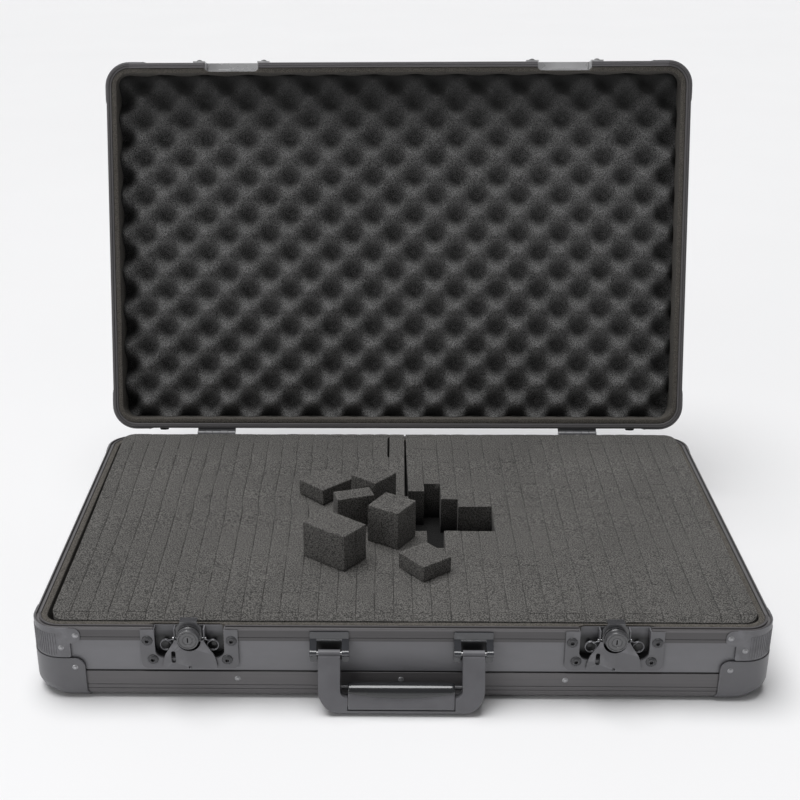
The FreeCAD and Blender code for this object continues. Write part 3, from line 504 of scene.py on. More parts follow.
dress("keeper", "keeper_dishes", bevel=0.35)
dress("knob", "latch_lock_core_left", "latch_lock_core_right")
dress("hinge", "hinge_base_leaves", "hinge_lid_leaves", bevel=0.3)


def finish_piece(made, material, slot, body, *nodes):
    """Material, replaced nodes and body of a finished piece; the slot argument is not used."""
    made.data.materials.clear()
    made.data.materials.append(MATERIALS[material])
    if nodes:
        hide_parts(*nodes)
    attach(made, body)
    return made


# ---- pluck foam ----
PLUCK = 19.4
FOAM_LEFT, FOAM_RIGHT, FOAM_FRONT, FOAM_REAR = -356.0, 360.0, 13.5, 458.5
FOAM_TOP, FOAM_LOW = 88.0, 45.0
POCKET_X, POCKET_Y = 12.0, 199.0
POCKET_CELLS = ((0, 5), (-2, 8), (0, 4), (0, 3), (0, 3))
SLITS = ((12.0, 285.0, 460.0), (-7.4, 393.0, 452.0))   # open cuts: x, and from y to y
SLIT_DEPTH = 38.0


def cut_lines(low, high, start):
    """Positions of the pluck cuts across one direction of the block."""
    first = math.ceil((low + 4.0 - start) / PLUCK)
    last = math.floor((high - 4.0 - start) / PLUCK)
    return [start + k * PLUCK for k in range(first, last + 1)]


def line_coordinates(low, high, cuts, offsets, between):
    """Grid coordinates with lines close round every cut, and each one's cut."""
    coordinates, owner = [low, low + 0.5, low + 1.6], [-1, -1, -1]
    edges = [low] + list(cuts) + [high]
    for i, cut in enumerate(cuts):
        for k in range(1, between):
            gap_low, gap_high = edges[i] + 1.6, cut - 1.6
            coordinates.append(gap_low + (gap_high - gap_low) * k / between)
            owner.append(-1)
        for offset in offsets:
            coordinates.append(cut + offset)
            owner.append(i)
    for k in range(1, between):
        coordinates.append(edges[-2] + 1.6 + (high - 1.6 - edges[-2] - 1.6) * k / between)
        owner.append(-1)
    coordinates += [high - 1.6, high - 0.5, high]
    owner += [-1, -1, -1]
    return np.array(coordinates), np.array(owner)


CUT_OFFSETS = (-1.3, -0.32, -0.16, 0.0, 0.16, 0.32, 1.3)


def smooth_step(value, low, high):
    share = np.clip((value - low) / (high - low), 0.0, 1.0)
    return share * share * (3 - 2 * share)


def pluck_top():
    """Points of the cut sheet: x, y and z arrays, the grid lines and the cut positions."""
    draw = np.random.RandomState(7)
    cuts_x = cut_lines(FOAM_LEFT, FOAM_RIGHT, POCKET_X)
    cuts_y = cut_lines(FOAM_FRONT, FOAM_REAR, POCKET_Y)
    xs, owner_x = line_coordinates(FOAM_LEFT, FOAM_RIGHT, cuts_x, CUT_OFFSETS, 3)
    ys, owner_y = line_coordinates(FOAM_FRONT, FOAM_REAR, cuts_y, CUT_OFFSETS, 3)
    x, y = np.meshgrid(xs, ys, indexing="ij")
    z = np.full_like(x, FOAM_TOP)
    groove = {0.0: 1.0, 0.16: 0.8, 0.32: 0.22, 1.3: 0.0}
    column = np.searchsorted(cuts_x, xs)
    row = np.searchsorted(cuts_y, ys)
    depth_x = 0.7 + 1.9 * draw.rand(len(cuts_x), len(cuts_y) + 1) ** 1.5
    depth_y = 0.02 + 0.8 * draw.rand(len(cuts_x) + 1, len(cuts_y)) ** 8
    depth_y[:, 0] += 1.4 * (draw.rand(len(cuts_x) + 1) > 0.45)
    depth_y[14:20, -1] += 2.0
    depth_y[24, 11] += 2.5
    held_rear = 1.0 - 0.75 * smooth_step(ys, 425.0, 445.0)
    for i in np.nonzero(owner_x >= 0)[0]:
        share = groove[round(abs(xs[i] - cuts_x[owner_x[i]]), 2)]
        z[i, :] -= share * depth_x[owner_x[i], row] * held_rear
    for j in np.nonzero(owner_y >= 0)[0]:
        share = groove[round(abs(ys[j] - cuts_y[owner_y[j]]), 2)]
        z[:, j] = np.minimum(z[:, j], FOAM_TOP - share * depth_y[column, owner_y[j]])
    for cut, start, end in SLITS:
        for offset, share in ((0.0, 1.0), (0.16, 0.97)):
            for side in (-1, 1):
                i = int(np.argmin(np.abs(xs - (cut + side * offset))))
                z[i, (ys > start) & (ys < end)] = FOAM_TOP - share * SLIT_DEPTH
    lift = draw.rand(len(cuts_x) + 1, 1) * 0.3 + draw.rand(len(cuts_x) + 1, len(cuts_y) + 1) * 0.06
    z += lift[column][:, row] * (owner_x[:, None] < 0) * (owner_y[None, :] < 0)
    return x, y, z, xs, ys, cuts_x, cuts_y


def plucked(x, y):
    """Whether a point lies in a plucked-out cell."""
    i = math.floor((x - POCKET_X) / PLUCK)
    if not 0 <= i < len(POCKET_CELLS):
        return False
    first, count = POCKET_CELLS[i]
    return first <= (y - POCKET_Y) / PLUCK < first + count


FOAM_CORNER = 16.0
FOAM_RISE, RISE_SPAN = 4.3, (120.0, 440.0)   # how much higher the block stands at the rear


def round_corners(x, y):
    """Draws the block's corners in to clear the rounded linings."""
    middle, half = (FOAM_LEFT + FOAM_RIGHT) / 2, (FOAM_RIGHT - FOAM_LEFT) / 2
    past_x = np.maximum(np.abs(x - middle) - (half - FOAM_CORNER), 0.0)
    middle_y, half_y = (FOAM_FRONT + FOAM_REAR) / 2, (FOAM_REAR - FOAM_FRONT) / 2
    past_y = np.maximum(np.abs(y - middle_y) - (half_y - FOAM_CORNER), 0.0)
    reach = np.hypot(past_x, past_y)
    keep = np.where(reach > FOAM_CORNER, FOAM_CORNER / np.maximum(reach, 1e-6), 1.0) - 1.0
    return x + np.sign(x - middle) * past_x * keep, y + np.sign(y - middle_y) * past_y * keep


def warp_foam(x, y, z):
    """The block as it sits: rises to the rear, parts at the open cuts, uneven left edge."""
    high = smooth_step(z, FOAM_LOW, FOAM_TOP)
    z = z + FOAM_RISE * smooth_step(y, *RISE_SPAN) * high
    z = z - 3.6 * (1.0 - smooth_step(y, FOAM_FRONT, FOAM_FRONT + 12.0)) * high
    side_gap = smooth_step(-x, 250.0, 356.0) * smooth_step(y, 230.0, 400.0)
    held = 1.0 - smooth_step(-x, 60.0, 356.0)
    y = y + 0.2 * (1.0 - smooth_step(y, FOAM_FRONT, FOAM_FRONT + 9.0)) * high
    x = x + 1.6 * (1.0 - high) * smooth_step(x, 106.0, 108.5) * (1.0 - smooth_step(x, 112.0, 120.0))
    spread = 1.7 + 2.6 * (1.0 - smooth_step(y, 275.0, 440.0))
    spread = spread * smooth_step(y, 245.0, 275.0) * smooth_step(z, FOAM_LOW - 20.0, FOAM_TOP)
    second = 2.2 * smooth_step(y, 385.0, 396.0) * (1.0 - smooth_step(y, 446.0, 451.0))
    near_cuts = np.exp(-((x - 2.0) / 40.0) ** 2)
    opened = (spread * smooth_step(SLITS[0][0] - x, 0.0, 0.12)
              + second * smooth_step(SLITS[1][0] - x, 0.0, 0.12))
    x = x - 3.4 * side_gap - held * opened - 0.6 * near_cuts * smooth_step(y, 300.0, 400.0)
    return round_corners(x, y) + (z,)


def make_pluck_foam():
    x, y, z, xs, ys, cuts_x, cuts_y = pluck_top()
    count = len(ys)
    points = np.stack([x.ravel(), y.ravel(), z.ravel()], 1)
    faces = []
    for i in range(len(xs) - 1):
        for j in range(count - 1):
            if not plucked((xs[i] + xs[i + 1]) / 2, (ys[j] + ys[j + 1]) / 2):
                a, b = i * count + j, (i + 1) * count + j
                faces.append((a, b, b + 1, a + 1))
    work = bmesh.new()
    verts = [work.verts.new(p) for p in points]
    for face in faces:
        work.faces.new([verts[k] for k in face])
    bmesh.ops.delete(work, geom=[v for v in work.verts if not v.link_faces], context="VERTS")
    levels = (80.0, 70.0, 58.0, FOAM_LOW)
    border = [e for e in work.edges if len(e.link_faces) == 1]
    for level in levels:
        grown = bmesh.ops.extrude_edge_only(work, edges=border)["geom"]
        for v in [g for g in grown if isinstance(g, bmesh.types.BMVert)]:
            v.co.z = level
        border = [g for g in grown if isinstance(g, bmesh.types.BMEdge) and len(g.link_faces) == 1]
    bmesh.ops.recalc_face_normals(work, faces=work.faces)
    made_mesh = bpy.data.meshes.new("pluck_foam_block")
    for face in work.faces:
        face.smooth = True
    work.to_mesh(made_mesh)
    work.free()
    co = np.array([v.co for v in made_mesh.vertices])
    dents = np.array([noise.noise(Vector(p) / 45.0) for p in co])
    co[:, 2] += 0.5 * dents * (co[:, 2] > FOAM_TOP - 6.0)
    x, y, z = warp_foam(co[:, 0], co[:, 1], co[:, 2])
    co = in_base(np.stack([x, y, z], 1))
    made_mesh.vertices.foreach_set("co", co.astype(np.float32).ravel())
    made = bpy.data.objects.new("pluck_foam_block", made_mesh)
    bpy.context.scene.collection.objects.link(made)
    sharp_by_angle(made, 50.0)
    return made


finish_piece(make_pluck_foam(), "pluck", "pluck_foam", "base", "pluck_foam")


def rounded_block(name, size, radius, pitch, place, creases=(), rough=0.35, seed=1):
    """Foam block about its own middle: rounded edges, uneven faces, creases.

    creases are (axis, position, depth): a fine pinch across that axis into the block's +x end face, on its
    upper part."""
    half = np.array(size, float) / 2
    axes = []
    for k in range(3):
        inner = half[k] - radius
        steps = max(2, int(round(2 * inner / pitch)))
        values = list(np.linspace(-inner, inner, steps + 1))
        for axis, position, _ in creases:
            if axis == k:
                values += [position + d for d in (-1.0, -0.3, 0.0, 0.3, 1.0)]
        edge = [half[k], half[k] - 0.29 * radius, half[k] - 0.62 * radius]
        axes.append(np.array(sorted([-e for e in edge] + values + edge)))
    points, faces = [], []
    for k in range(3):
        u, v = (k + 1) % 3, (k + 2) % 3
        for side in (-1, 1):
            start = len(points)
            for a in axes[u]:
                for b in axes[v]:
                    p = np.zeros(3)
                    p[k], p[u], p[v] = side * half[k], a, b
                    points.append(p)
            faces += grid_faces(len(axes[u]), len(axes[v]), start)
    points = np.array(points)
    core = np.clip(points, -(half - radius), half - radius)
    away = points - core
    length = np.linalg.norm(away, axis=1)
    away /= np.maximum(length, 1e-9)[:, None]
    points = core + away * radius
    slow = wobble(points, rough, 16.0, seed)
    points = points + slow
    for axis, position, depth in creases:
        near = np.abs(core[:, axis] - position)
        share = np.where(near < 0.4, 1.0, 0.0) * (away[:, 0] > 0.6) * smooth_step(core[:, 2], -6.0, -2.0)
        points[:, 0] -= share * depth
    return add_mesh(name, place(points), faces)


def base_pad():
    low, high = FLOOR_TOP, FOAM_LOW - 0.3
    middle = np.array([(FOAM_LEFT + FOAM_RIGHT) / 2, (FOAM_FRONT + FOAM_REAR) / 2, (low + high) / 2])
    size = (FOAM_RIGHT - FOAM_LEFT, FOAM_REAR - FOAM_FRONT, high - low)
    return rounded_block("foam_base_pad_sheet", size, 1.2, 24.0, lambda p: in_base(p + middle), rough=0.3)


finish_piece(base_pad(), "pocket", "pluck_foam", "base", "foam_base_pad")

# centre, size, yaw and lean in degrees, creases: the plucked blocks lying on the foam
BLOCKS = (
    ("a", (-86.4, 289.4), (42.0, 46.0, 19.0), -46.0, (0.0, 0.0), ()),
    ("b", (-29.0, 256.0), (37.0, 38.0, 43.0), -40.0, (0.0, 0.0), ()),
    ("c", (-51.7, 213.0), (43.0, 18.5, 40.5), 18.0, (5.0, 0.0), ()),
    ("d", (-8.5, 181.0), (39.5, 38.5, 44.5), -32.0, (0.0, 0.0), ()),
    ("e", (-71.0, 138.5), (58.0, 38.0, 42.0), -38.0, (0.0, 0.0), ((1, 1.5, 6.0),)),
    ("f", (26.4, 112.6), (42.0, 38.6, 18.2), -52.0, (0.0, 0.0), ()),
)


def foam_surface(y):
    """Height of the foam's top at y, as warp_foam leaves it."""
    return FOAM_TOP + 0.35 + FOAM_RISE * float(smooth_step(np.array(y), *RISE_SPAN))


for seed, (letter, (bx, by), size, yaw, lean, creases) in enumerate(BLOCKS):
    turn = (Matrix.Rotation(math.radians(yaw), 3, "Z") @ Matrix.Rotation(math.radians(lean[0]), 3, "X")
            @ Matrix.Rotation(math.radians(lean[1]), 3, "Y"))
    rest_z = foam_surface(by)
    centre = np.array([bx, by, rest_z + size[2] / 2])

    def place_block(points, turn=turn, centre=centre):
        return in_base(points @ np.array(turn).T + centre)

    block = rounded_block("loose_block_" + letter, size, 0.9, 4.5, place_block, creases, 0.45, seed + 3)
    finish_piece(block, "pluck", "pluck_foam", "base", "loose_foam_blocks")
    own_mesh(block)


# ---- egg-crate foam in the lid ----
EGG_X, EGG_Y = 54.5, 49.4
EGG_X0, EGG_Y0 = -4.0, 119.0
EGG_HIGH, EGG_LOW = LID_RIM - 13.0, LID_RIM - 37.0
EGG_EDGE = INNER + 0.4
EGG_BACK, EGG_WALL_ROWS = 8.0, 4


def egg_height(x, y):
    wave = (np.cos(2 * math.pi * (x - EGG_X0) / EGG_X) * np.cos(2 * math.pi * (y - EGG_Y0) / EGG_Y))
    return (EGG_HIGH + EGG_LOW) / 2 - wave * (EGG_HIGH - EGG_LOW) / 2


def make_egg_crate():
    half, front, rear = HALF_W - EGG_EDGE, EGG_EDGE, DEPTH - EGG_EDGE
    xs = np.linspace(-half, half, 268)
    ys = np.linspace(front, rear, 166)
    x, y = np.meshgrid(xs, ys, indexing="ij")
    z = egg_height(x, y)
    rows, columns = x.shape
    points = np.stack([x.ravel(), y.ravel(), z.ravel()], 1)
    points += wobble(points, 0.5, 40.0, 4) * np.array([1.0, 1.0, 1.2])
    top = grid_faces(rows, columns)
    ring = [i * columns for i in range(rows)]
    ring += [(rows - 1) * columns + j for j in range(1, columns)]
    ring += [i * columns + columns - 1 for i in range(rows - 2, -1, -1)]
    ring += list(range(columns - 2, 0, -1))
    all_points, faces = [points], list(top)
    previous = ring
    start = len(points)
    for k in range(1, EGG_WALL_ROWS + 1):
        wall = points[ring].copy()
        wall[:, 2] += (EGG_BACK - wall[:, 2]) * k / EGG_WALL_ROWS
        all_points.append(wall)
        current = [start + i for i in range(len(ring))]
        faces += [(previous[i], previous[(i + 1) % len(ring)], current[(i + 1) % len(ring)], current[i])
                  for i in range(len(ring))]
        previous, start = current, start + len(ring)
    faces.append(tuple(previous))
    return add_mesh("egg_crate_sheet", in_lid(np.concatenate(all_points)), faces)


egg = make_egg_crate()
sharp_by_angle(egg, 60.0)
finish_piece(egg, "egg", "egg_crate_foam", "lid", "lid_egg_crate_foam")


# ---- lining strips ----
LOOP_STEP, ARC_STEPS = 6.0, 10


def loop_path(inset, radius):
    """Counter-clockwise rounded rectangle inside the walls, with outward directions."""
    x_end, y_low, y_high = HALF_W - inset, inset, DEPTH - inset
    corners = ((x_end - radius, y_low + radius, -90.0), (x_end - radius, y_high - radius, 0.0),
               (-x_end + radius, y_high - radius, 90.0), (-x_end + radius, y_low + radius, 180.0))
    path = []
    for i, (cx, cy, start) in enumerate(corners):
        for k in range(ARC_STEPS + 1):
            angle = math.radians(start + 90.0 * k / ARC_STEPS)
            path.append((cx + radius * math.cos(angle), cy + radius * math.sin(angle),
                         math.cos(angle), math.sin(angle)))
        nx, ny = corners[(i + 1) % 4][:2]
        angle = math.radians(start + 90.0)
        here = np.array(path[-1][:2])
        there = np.array([nx + radius * math.cos(angle), ny + radius * math.sin(angle)])
        count = max(2, int(np.linalg.norm(there - here) / LOOP_STEP))
        for k in range(1, count):
            p = here + (there - here) * k / count
            path.append((p[0], p[1], math.cos(angle), math.sin(angle)))
    return np.array(path)


def make_lining(name, high, place, pocket_half, pocket_deep, pocket_low, seed):
    """Foam strip round the inside of a tray, hollowed at the front behind each latch."""
    play = 0.15
    path = loop_path(RIM_T + play, CORNER_R - RIM_T - play)
    low = FLOOR_TOP + 0.1
    levels = sorted([low, low + 12.0, pocket_low - 0.5, pocket_low + 0.5, high - 8.0, high - 2.4, high - 0.8])
    section = [(0.0, z) for z in levels]
    section += [(0.35, high - 0.25), (0.9, high), (LINING_T - 1.1, high), (LINING_T - 0.45, high - 0.25),
                (LINING_T - 0.15, high - 0.9)]
    section += [(LINING_T - 0.1, z) for z in reversed(levels[:-1])]
    points = []
    for x, y, ox, oy in path:
        pocket = oy < -0.99 and any(abs(x - side * LATCH_X) < pocket_half for side in (-1, 1))
        for inward, z in section:
            if pocket and z > pocket_low and inward < pocket_deep - RIM_T:
                inward = pocket_deep - RIM_T
            points.append((x - ox * inward, y - oy * inward, z))
    points = np.array(points)
    shift = wobble(points, 0.35, 30.0, seed)
    inner = np.clip((points[:, 2] - low) / (high - low), 0, 1)
    points += shift * inner[:, None] * np.array([0.8, 0.8, 1.0])
    count = len(section)
    faces = grid_faces(len(path), count, wrap=True)
    last = (len(path) - 1) * count
    faces += [(last + k, last + (k + 1) % count, (k + 1) % count, k) for k in range(count)]
    made = add_mesh(name, place(points), faces)
    sharp_by_angle(made, 60.0)
    return made


finish_piece(make_lining("base_lining_strip", BASE_RIM - 0.5, in_base, 36.3, 9.9, 47.7, 5),
                       "lining", "lining_foam", "base", "base_lining")
finish_piece(make_lining("lid_lining_strip", LID_RIM - 0.5, in_lid, 34.8, 11.6, 32.7, 6),
                       "lining", "lining_foam", "lid", "lid_lining")


# ---- ball corners ----
CAP_T, CAP_EDGE_R, CAP_BALL_R = 1.8, 12.0, 20.0
BASE_CAP_H, LID_CAP_H = 48.0, 30.0
CAP_SIDE, CAP_FLARE, CAP_SHOULDER = 54.0, 2.5, 10.0


def cap_leg(z, height):
    """Reach of a cap's leg from the side face: flared at the floor, rounded on top."""
    flare = CAP_FLARE * (1.0 - float(smooth_step(np.array(z), 4.0, 9.5)))
    share = max(0.0, (z - height + CAP_SHOULDER) / CAP_SHOULDER)
    drop = CAP_SHOULDER * (1.0 - math.sqrt(max(0.0, 1.0 - share ** 2)))
    return CAP_SIDE + flare - drop


def make_cap(name, height, place, mirror_x, mirror_y):
    """One ball corner: a rounded leg on each wall, swelling to a ball between."""
    rows = []
    for k in range(9):
        rows.append(("under", (1.0 - k / 9) ** 1.2))
    for k in range(1, 13):
        rows.append(("turn", 90.0 * k / 12))
    for k in range(1, 15):
        rows.append(("wall", 1.0 - (1.0 - k / 14.0) ** 1.7))
    straight, arc = 14, 22
    points, columns = [], 2 * straight + arc + 1
    for kind, value in rows:
        if kind == "turn":
            end_z = CAP_EDGE_R * (1 - math.cos(math.radians(value)))
        elif kind == "wall":
            end_z = CAP_EDGE_R + (height - CAP_EDGE_R) * value
        else:
            end_z = 0.0
        reach = cap_leg(end_z, height)
        for c in range(columns):
            if c <= straight:
                away = reach + (CORNER_R - reach) * c / straight
                p, n = np.array([HALF_W - away, 0.0]), np.array([0.0, -1.0])
                span = away
            elif c < straight + arc:
                angle = math.radians(-90.0 + 90.0 * (c - straight) / arc)
                n = np.array([math.cos(angle), math.sin(angle)])
                p = np.array([HALF_W - CORNER_R, CORNER_R]) + CORNER_R * n
                span = CORNER_R * (1.0 - min(angle + math.pi / 2, -angle))
            else:
                away = CORNER_R + (reach - CORNER_R) * (c - straight - arc) / straight
                p, n = np.array([HALF_W, away]), np.array([1.0, 0.0])
                span = away
            swell = 1.0 - float(smooth_step(np.array(span), 12.0, 38.0))
            radius = CAP_EDGE_R + (CAP_BALL_R - CAP_EDGE_R) * swell
            if kind == "under":
                out, z = CAP_T - radius - value * (CORNER_R - 0.6 - radius), 0.0
            elif kind == "turn":
                turn = math.radians(value)
                out, z = CAP_T - radius + radius * math.sin(turn), radius * (1 - math.cos(turn))
            else:
                out, z = CAP_T, radius + (height - radius) * value
            points.append((p[0] + n[0] * out, p[1] + n[1] * out, z))
    points = np.array(points)
    if mirror_x:
        points[:, 0] *= -1
    if mirror_y:
        points[:, 1] = DEPTH - points[:, 1]
    return add_mesh(name, place(points), grid_faces(len(rows), columns))


def make_caps(name, height, place):
    """A tray's four ball corners in one piece, with thickness."""
    parts = [make_cap(name + str(i), height, place, i % 2 == 1, i > 1) for i in range(4)]
    middle = Vector(place([(0.0, DEPTH / 2, height + 30.0)])[0])
    work = bmesh.new()
    for part in parts:
        work.from_mesh(part.data)
        bpy.data.objects.remove(part)
    for face in work.faces:
        face.smooth = True
    work.faces.ensure_lookup_table()
    bmesh.ops.recalc_face_normals(work, faces=work.faces)
    seen, flip = set(), []
    for face in work.faces:
        if face.index in seen:
            continue
        island, queue = [], [face]
        seen.add(face.index)
        while queue:
            current = queue.pop()
            island.append(current)
            for edge in current.edges:
                for near in edge.link_faces:
                    if near.index not in seen:
                        seen.add(near.index)
                        queue.append(near)
        score = sum((f.calc_center_median() - middle).dot(f.normal) * f.calc_area() for f in island)
        if score < 0:
            flip += island
    bmesh.ops.reverse_faces(work, faces=flip)
    mesh = bpy.data.meshes.new(name)
    work.to_mesh(mesh)
    work.free()
    made = bpy.data.objects.new(name, mesh)
    bpy.context.scene.collection.objects.link(made)
    solid = made.modifiers.new("Thickness", "SOLIDIFY")
    solid.thickness = CAP_T * MM
    solid.offset = -1.0
    solid.use_even_offset = True
    return made


finish_piece(make_caps("base_ball_corners", BASE_CAP_H, in_base), "corner", "corner_metal", "base",
             "base_corner_caps")
finish_piece(make_caps("lid_ball_corners", LID_CAP_H, in_lid), "corner", "corner_metal", "lid",
             "lid_corner_caps")


# ---- latch details ----
def lathe(profile, sides=40):
    """Points and faces of a profile of (radius, out) turned about an axis along -Y."""
    points = []
    for radius, out in profile:
        for k in range(sides):
            angle = 2 * math.pi * k / sides
            points.append((radius * math.cos(angle), -out, radius * math.sin(angle)))
    return np.array(points), grid_faces(len(profile), sides, wrap=True)


def gather(name, groups):
    """One mesh from several (points, faces, material index) groups."""
    points, faces, kinds, start = [], [], [], 0
    for group_points, group_faces, kind in groups:
        points.append(np.asarray(group_points, float))
        faces += [tuple(v + start for v in face) for face in group_faces]
        kinds += [kind] * len(group_faces)
        start += len(group_points)
    mesh = bpy.data.meshes.new(name)
    mesh.from_pydata([tuple(p) for p in in_base(np.concatenate(points))], [], faces)
    mesh.polygons.foreach_set("material_index", kinds)
    made = bpy.data.objects.new(name, mesh)
    bpy.context.scene.collection.objects.link(made)
    close_up(made)
    return made


HOOK_FRONT, KNOB_Z, CORE_R = -1.6, 76.0, 4.55
KNOB_FLANGE = ((0.0, 0.0), (12.2, 0.0), (12.2, 0.7), (11.9, 1.0), (10.9, 1.0), (10.7, 1.4))
KNOB_BEAD = ((11.3, 1.9), (11.5, 2.4), (11.5, 3.6), (11.2, 4.1), (10.8, 4.3), (10.8, 4.7))
KNOB_BARREL = ((11.0, 5.0), (11.0, 8.5), (10.75, 9.1), (10.3, 9.4), (9.3, 9.4), (9.1, 9.0))
KNOB_FACE = ((8.6, 9.0), (8.4, 9.3), (5.6, 9.4), (5.4, 9.1), (4.75, 9.1), (CORE_R, 8.9))
KNOB_BORE = ((CORE_R, 3.2), (0.0, 3.2))
KNOB_PROFILE = KNOB_FLANGE + KNOB_BEAD + KNOB_BARREL + KNOB_FACE + KNOB_BORE
for side, name in ((-1, "left"), (1, "right")):
    points, faces = lathe(KNOB_PROFILE, 64)
    points = points + np.array([side * LATCH_X, HOOK_FRONT, KNOB_Z])
    knob = gather("knob_barrel_" + name, [(points, faces, 0)])
    sharp_by_angle(knob, 28.0)
    finish_piece(knob, "knob", "knob_metal", "latch_" + name, "latch_knob_" + name)

EYELETS = ((42.5, 14.5), (37.7, 36.6))
EYELET_DOME = ((5.5, 0.0), (5.45, 0.5), (5.1, 1.0), (4.3, 1.5), (3.4, 1.8), (3.0, 1.85))
EYELET_RIM = ((3.0, 1.8), (2.85, 2.1), (2.45, 2.25), (2.05, 2.15), (1.9, 1.85))
EYELET_HOLE = ((1.9, 1.85), (1.85, 0.9), (1.8, 0.1), (0.0, 0.1))
DISH_FACE = -1.2


def make_eyelets():
    groups = []
    for latch in (-1, 1):
        for x, drop in EYELETS:
            for side in (-1, 1):
                shift = np.array([latch * LATCH_X + side * x, DISH_FACE, BASE_RIM - drop])
                for kind, profile in enumerate((EYELET_DOME, EYELET_RIM, EYELET_HOLE)):
                    points, faces = lathe(profile, 28)
                    groups.append((points + shift, faces, kind))
    made = gather("latch_eyelets", groups)
    sharp_by_angle(made, 60.0)
    finish_piece(made, "eyelet", "rivet_metal", "base", "latch_rivets")
    made.data.materials.append(MATERIALS["rim_bright"])
    # the holes' insides are painted black: painted shade
    made.data.materials.append(MATERIALS["hollow_shade"])


make_eyelets()

SPRING_X, SPRING_Z, SPRING_R, WIRE_R = 23.6, 64.0, 5.7, 0.5


def spring_path(side):
    """Two and a quarter turns, a leg to the hook and a tail down behind."""
    path = [(14.0, -1.2, 71.4), (17.0, -1.2, 71.0)]
    turns, steps = 2.25, 72
    for k in range(steps + 1):
        angle = math.radians(100.0) + 2 * math.pi * turns * k / steps
        path.append((SPRING_X + SPRING_R * math.cos(angle), -1.2 + 3.0 * k / steps,
                     SPRING_Z + SPRING_R * math.sin(angle)))
    path.append((SPRING_X - SPRING_R - 0.1, 2.4, SPRING_Z - 5.0))
    return [(side * x, y, z) for x, y, z in path]


def make_springs():
    groups = []
    for latch in (-1, 1):
        for side in (-1, 1):
            path = np.array(spring_path(side)) + np.array([latch * LATCH_X, 0.0, 0.0])
            points, faces = tube(path, WIRE_R)
            groups.append((points, faces, 0))
    made = gather("latch_spring_wires", groups)
    finish_piece(made, "wire", "bright_steel", "base", "latch_springs")


make_springs()


# ---- handle grip ----
HANDLE_Y, HANDLE_Z, HANDLE_TILT = -8.5, 60.4, math.radians(16.0)
GRIP_HALF = 53.4


def in_handle(points):
    """Points drawn hanging straight down from the handle's pivot, to the frame."""
    points = np.asarray(points, float)
    x, y, z = points[:, 0], points[:, 1], points[:, 2]
    c, s = math.cos(HANDLE_TILT), math.sin(HANDLE_TILT)
    return in_base(np.stack([x, HANDLE_Y + y * c + z * s, HANDLE_Z - y * s + z * c], 1))


def sweep_along_x(name, section, half, round_end):
    """Carries the closed section(x, inset) along X, with rounded ends."""
    stations = [(-half, round_end), (-half + 0.3 * round_end, 0.3 * round_end), (-half + round_end, 0.0)]
    inner = half - round_end
    stations += [(x, 0.0) for x in np.linspace(-inner, inner, 46)[1:-1]]
    stations += [(half - round_end, 0.0), (half - 0.3 * round_end, 0.3 * round_end), (half, round_end)]
    points, count = [], 0
    for x, inset in stations:
        outline = section(x, inset)
        count = len(outline)
        points += [(x, y, z) for y, z in outline]
    faces = grid_faces(len(stations), count, wrap=True)
    faces += [tuple(range(count)), tuple((len(stations) - 1) * count + k for k in range(count))]
    made = add_mesh(name, in_handle(points), faces)
    sharp_by_angle(made, 50.0)
    return made


def gloss_section(x, inset):
    """Barrel-shaped upper shell, its skirt dipping towards the middle."""
    share = (x / GRIP_HALF) ** 2
    half, top = 9.0 - 0.9 * share - inset, -30.0 - 0.5 * share - inset
    shoulder, low = -37.6, -44.0 + 4.8 * share + 0.4 * inset
    points = [(-half + 0.5, low), (-half, low + 0.5), (-half, (low + shoulder) / 2)]
    for k in range(25):
        angle = math.radians(180.0 - 180.0 * k / 24)
        points.append((half * math.cos(angle), shoulder + (top - shoulder) * math.sin(angle) ** 0.9))
    points += [(half, (low + shoulder) / 2), (half, low + 0.5), (half - 0.5, low)]
    return points


def matte_section(x, inset):
    """Lower half of the grip, a flat-sided bar with rounded lower edges."""
    half, low, high = 7.3 - inset, -57.0 + inset, -37.0
    points = [(-half, high)]
    for k in range(7):
        angle = math.radians(180.0 + 90.0 * k / 6)
        points.append((-half + 2.4 + 2.4 * math.cos(angle), low + 2.4 + 2.4 * math.sin(angle)))
    for k in range(7):
        angle = math.radians(270.0 + 90.0 * k / 6)
        points.append((half - 2.4 + 2.4 * math.cos(angle), low + 2.4 + 2.4 * math.sin(angle)))
    points.append((half, high))
    return points


finish_piece(sweep_along_x("grip_shell", gloss_section, GRIP_HALF, 1.0), "gloss", "grip_gloss", "handle",
             "handle_grip_upper")
finish_piece(sweep_along_x("grip_body", matte_section, GRIP_HALF, 0.5), "handle", "handle_plastic", "handle",
             "handle_grip_lower")

# ---- camera ----
CAMERA_AT = Vector((-0.02207, FRONT_Y - 1.15286, 0.81032))
YAW, PITCH, ROLL = (math.radians(a) for a in (-1.318, 23.908, -0.432))
forward = Vector((math.sin(YAW) * math.cos(PITCH), math.cos(YAW) * math.cos(PITCH), -math.sin(PITCH)))
right = Vector((math.cos(YAW), -math.sin(YAW), 0.0))
up = right.cross(forward)
axis_x = right * math.cos(ROLL) + up * math.sin(ROLL)
axis_y = -right * math.sin(ROLL) + up * math.cos(ROLL)
lens = bpy.data.cameras.new("camera")
lens.lens, lens.sensor_width = 60.684, 36.0
lens.shift_x, lens.shift_y = 0.06078, 0.03998
lens.clip_end = 60.0
camera = bpy.data.objects.new("camera", lens)
camera.matrix_world = Matrix((
    (axis_x.x, axis_y.x, -forward.x, CAMERA_AT.x),
    (axis_x.y, axis_y.y, -forward.y, CAMERA_AT.y),
    (axis_x.z, axis_y.z, -forward.z, CAMERA_AT.z),
    (0.0, 0.0, 0.0, 1.0)))
bpy.context.scene.collection.objects.link(camera)
bpy.context.scene.camera = camera


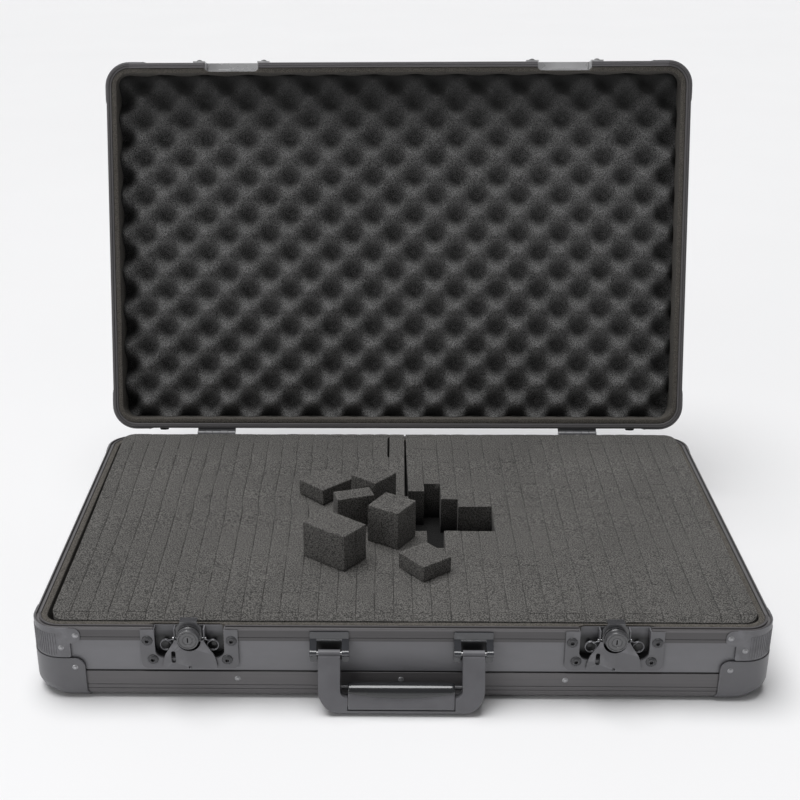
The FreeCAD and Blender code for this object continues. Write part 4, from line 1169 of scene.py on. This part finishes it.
# ---- floor and light ----
def make_floor():
    """Pale sweep: flat under the case, curving up far behind."""
    reach, depth_back, steps = 16.0, 14.0, 24
    profile = [(-9.0, 0.0), (-2.0, 0.0), (0.0, 0.0), (2.0, 0.0), (depth_back, 0.0)]
    bend = 3.0
    for k in range(1, steps + 1):
        angle = math.radians(90.0 * k / steps)
        profile.append((depth_back + bend * math.sin(angle), bend * (1 - math.cos(angle))))
    profile.append((depth_back + bend, 6.0))
    points = [(x, y, z) for y, z in profile for x in (-reach, -3.0, 0.0, 3.0, reach)]
    floor = add_mesh("studio_floor", points, grid_faces(len(profile), 5))
    surface = Surface("studio_floor", (0.86, 0.86, 0.87), 0.75, Specular_IOR_Level=0.2)
    tone = surface.noise(2.0, 2.0)
    surface.paint("Base Color", surface.colours(tone, (0.85, 0.85, 0.86), (0.88, 0.88, 0.89)))
    surface.bump(surface.noise(700.0, 2.0), 0.02, 0.2)
    floor.data.materials.append(surface.material)


make_floor()


def area_light(name, place, aim, size, power):
    data = bpy.data.lights.new(name, "AREA")
    data.shape = "RECTANGLE"
    data.size, data.size_y = size
    data.energy = power
    made = bpy.data.objects.new(name, data)
    made.location = place
    made.rotation_mode = "QUATERNION"
    made.rotation_quaternion = (Vector(aim) - Vector(place)).to_track_quat("-Z", "Y")
    bpy.context.scene.collection.objects.link(made)


def overhead_light(name, tilt, angle, strength):
    """Wide soft light from above, leaning by (to the rear, to the right) degrees."""
    data = bpy.data.lights.new(name, "SUN")
    data.angle = math.radians(angle)
    data.energy = strength
    made = bpy.data.objects.new(name, data)
    made.rotation_euler = (math.radians(-tilt[0]), math.radians(tilt[1]), 0.0)
    bpy.context.scene.collection.objects.link(made)


overhead_light("overhead_scrim", (6.0, -10.0), 46.0, 2.75)
area_light("left_fill", (-2.6, -2.6, 1.3), (0.0, -0.2, 0.1), (1.8, 1.4), 20.0)
world = bpy.data.worlds.new("studio")
world.use_nodes = True
world.node_tree.nodes["Background"].inputs["Color"].default_value = (1.0, 1.0, 1.0, 1.0)
world.node_tree.nodes["Background"].inputs["Strength"].default_value = 0.18
bpy.context.scene.world = world
bpy.context.scene.view_settings.view_transform = "Standard"
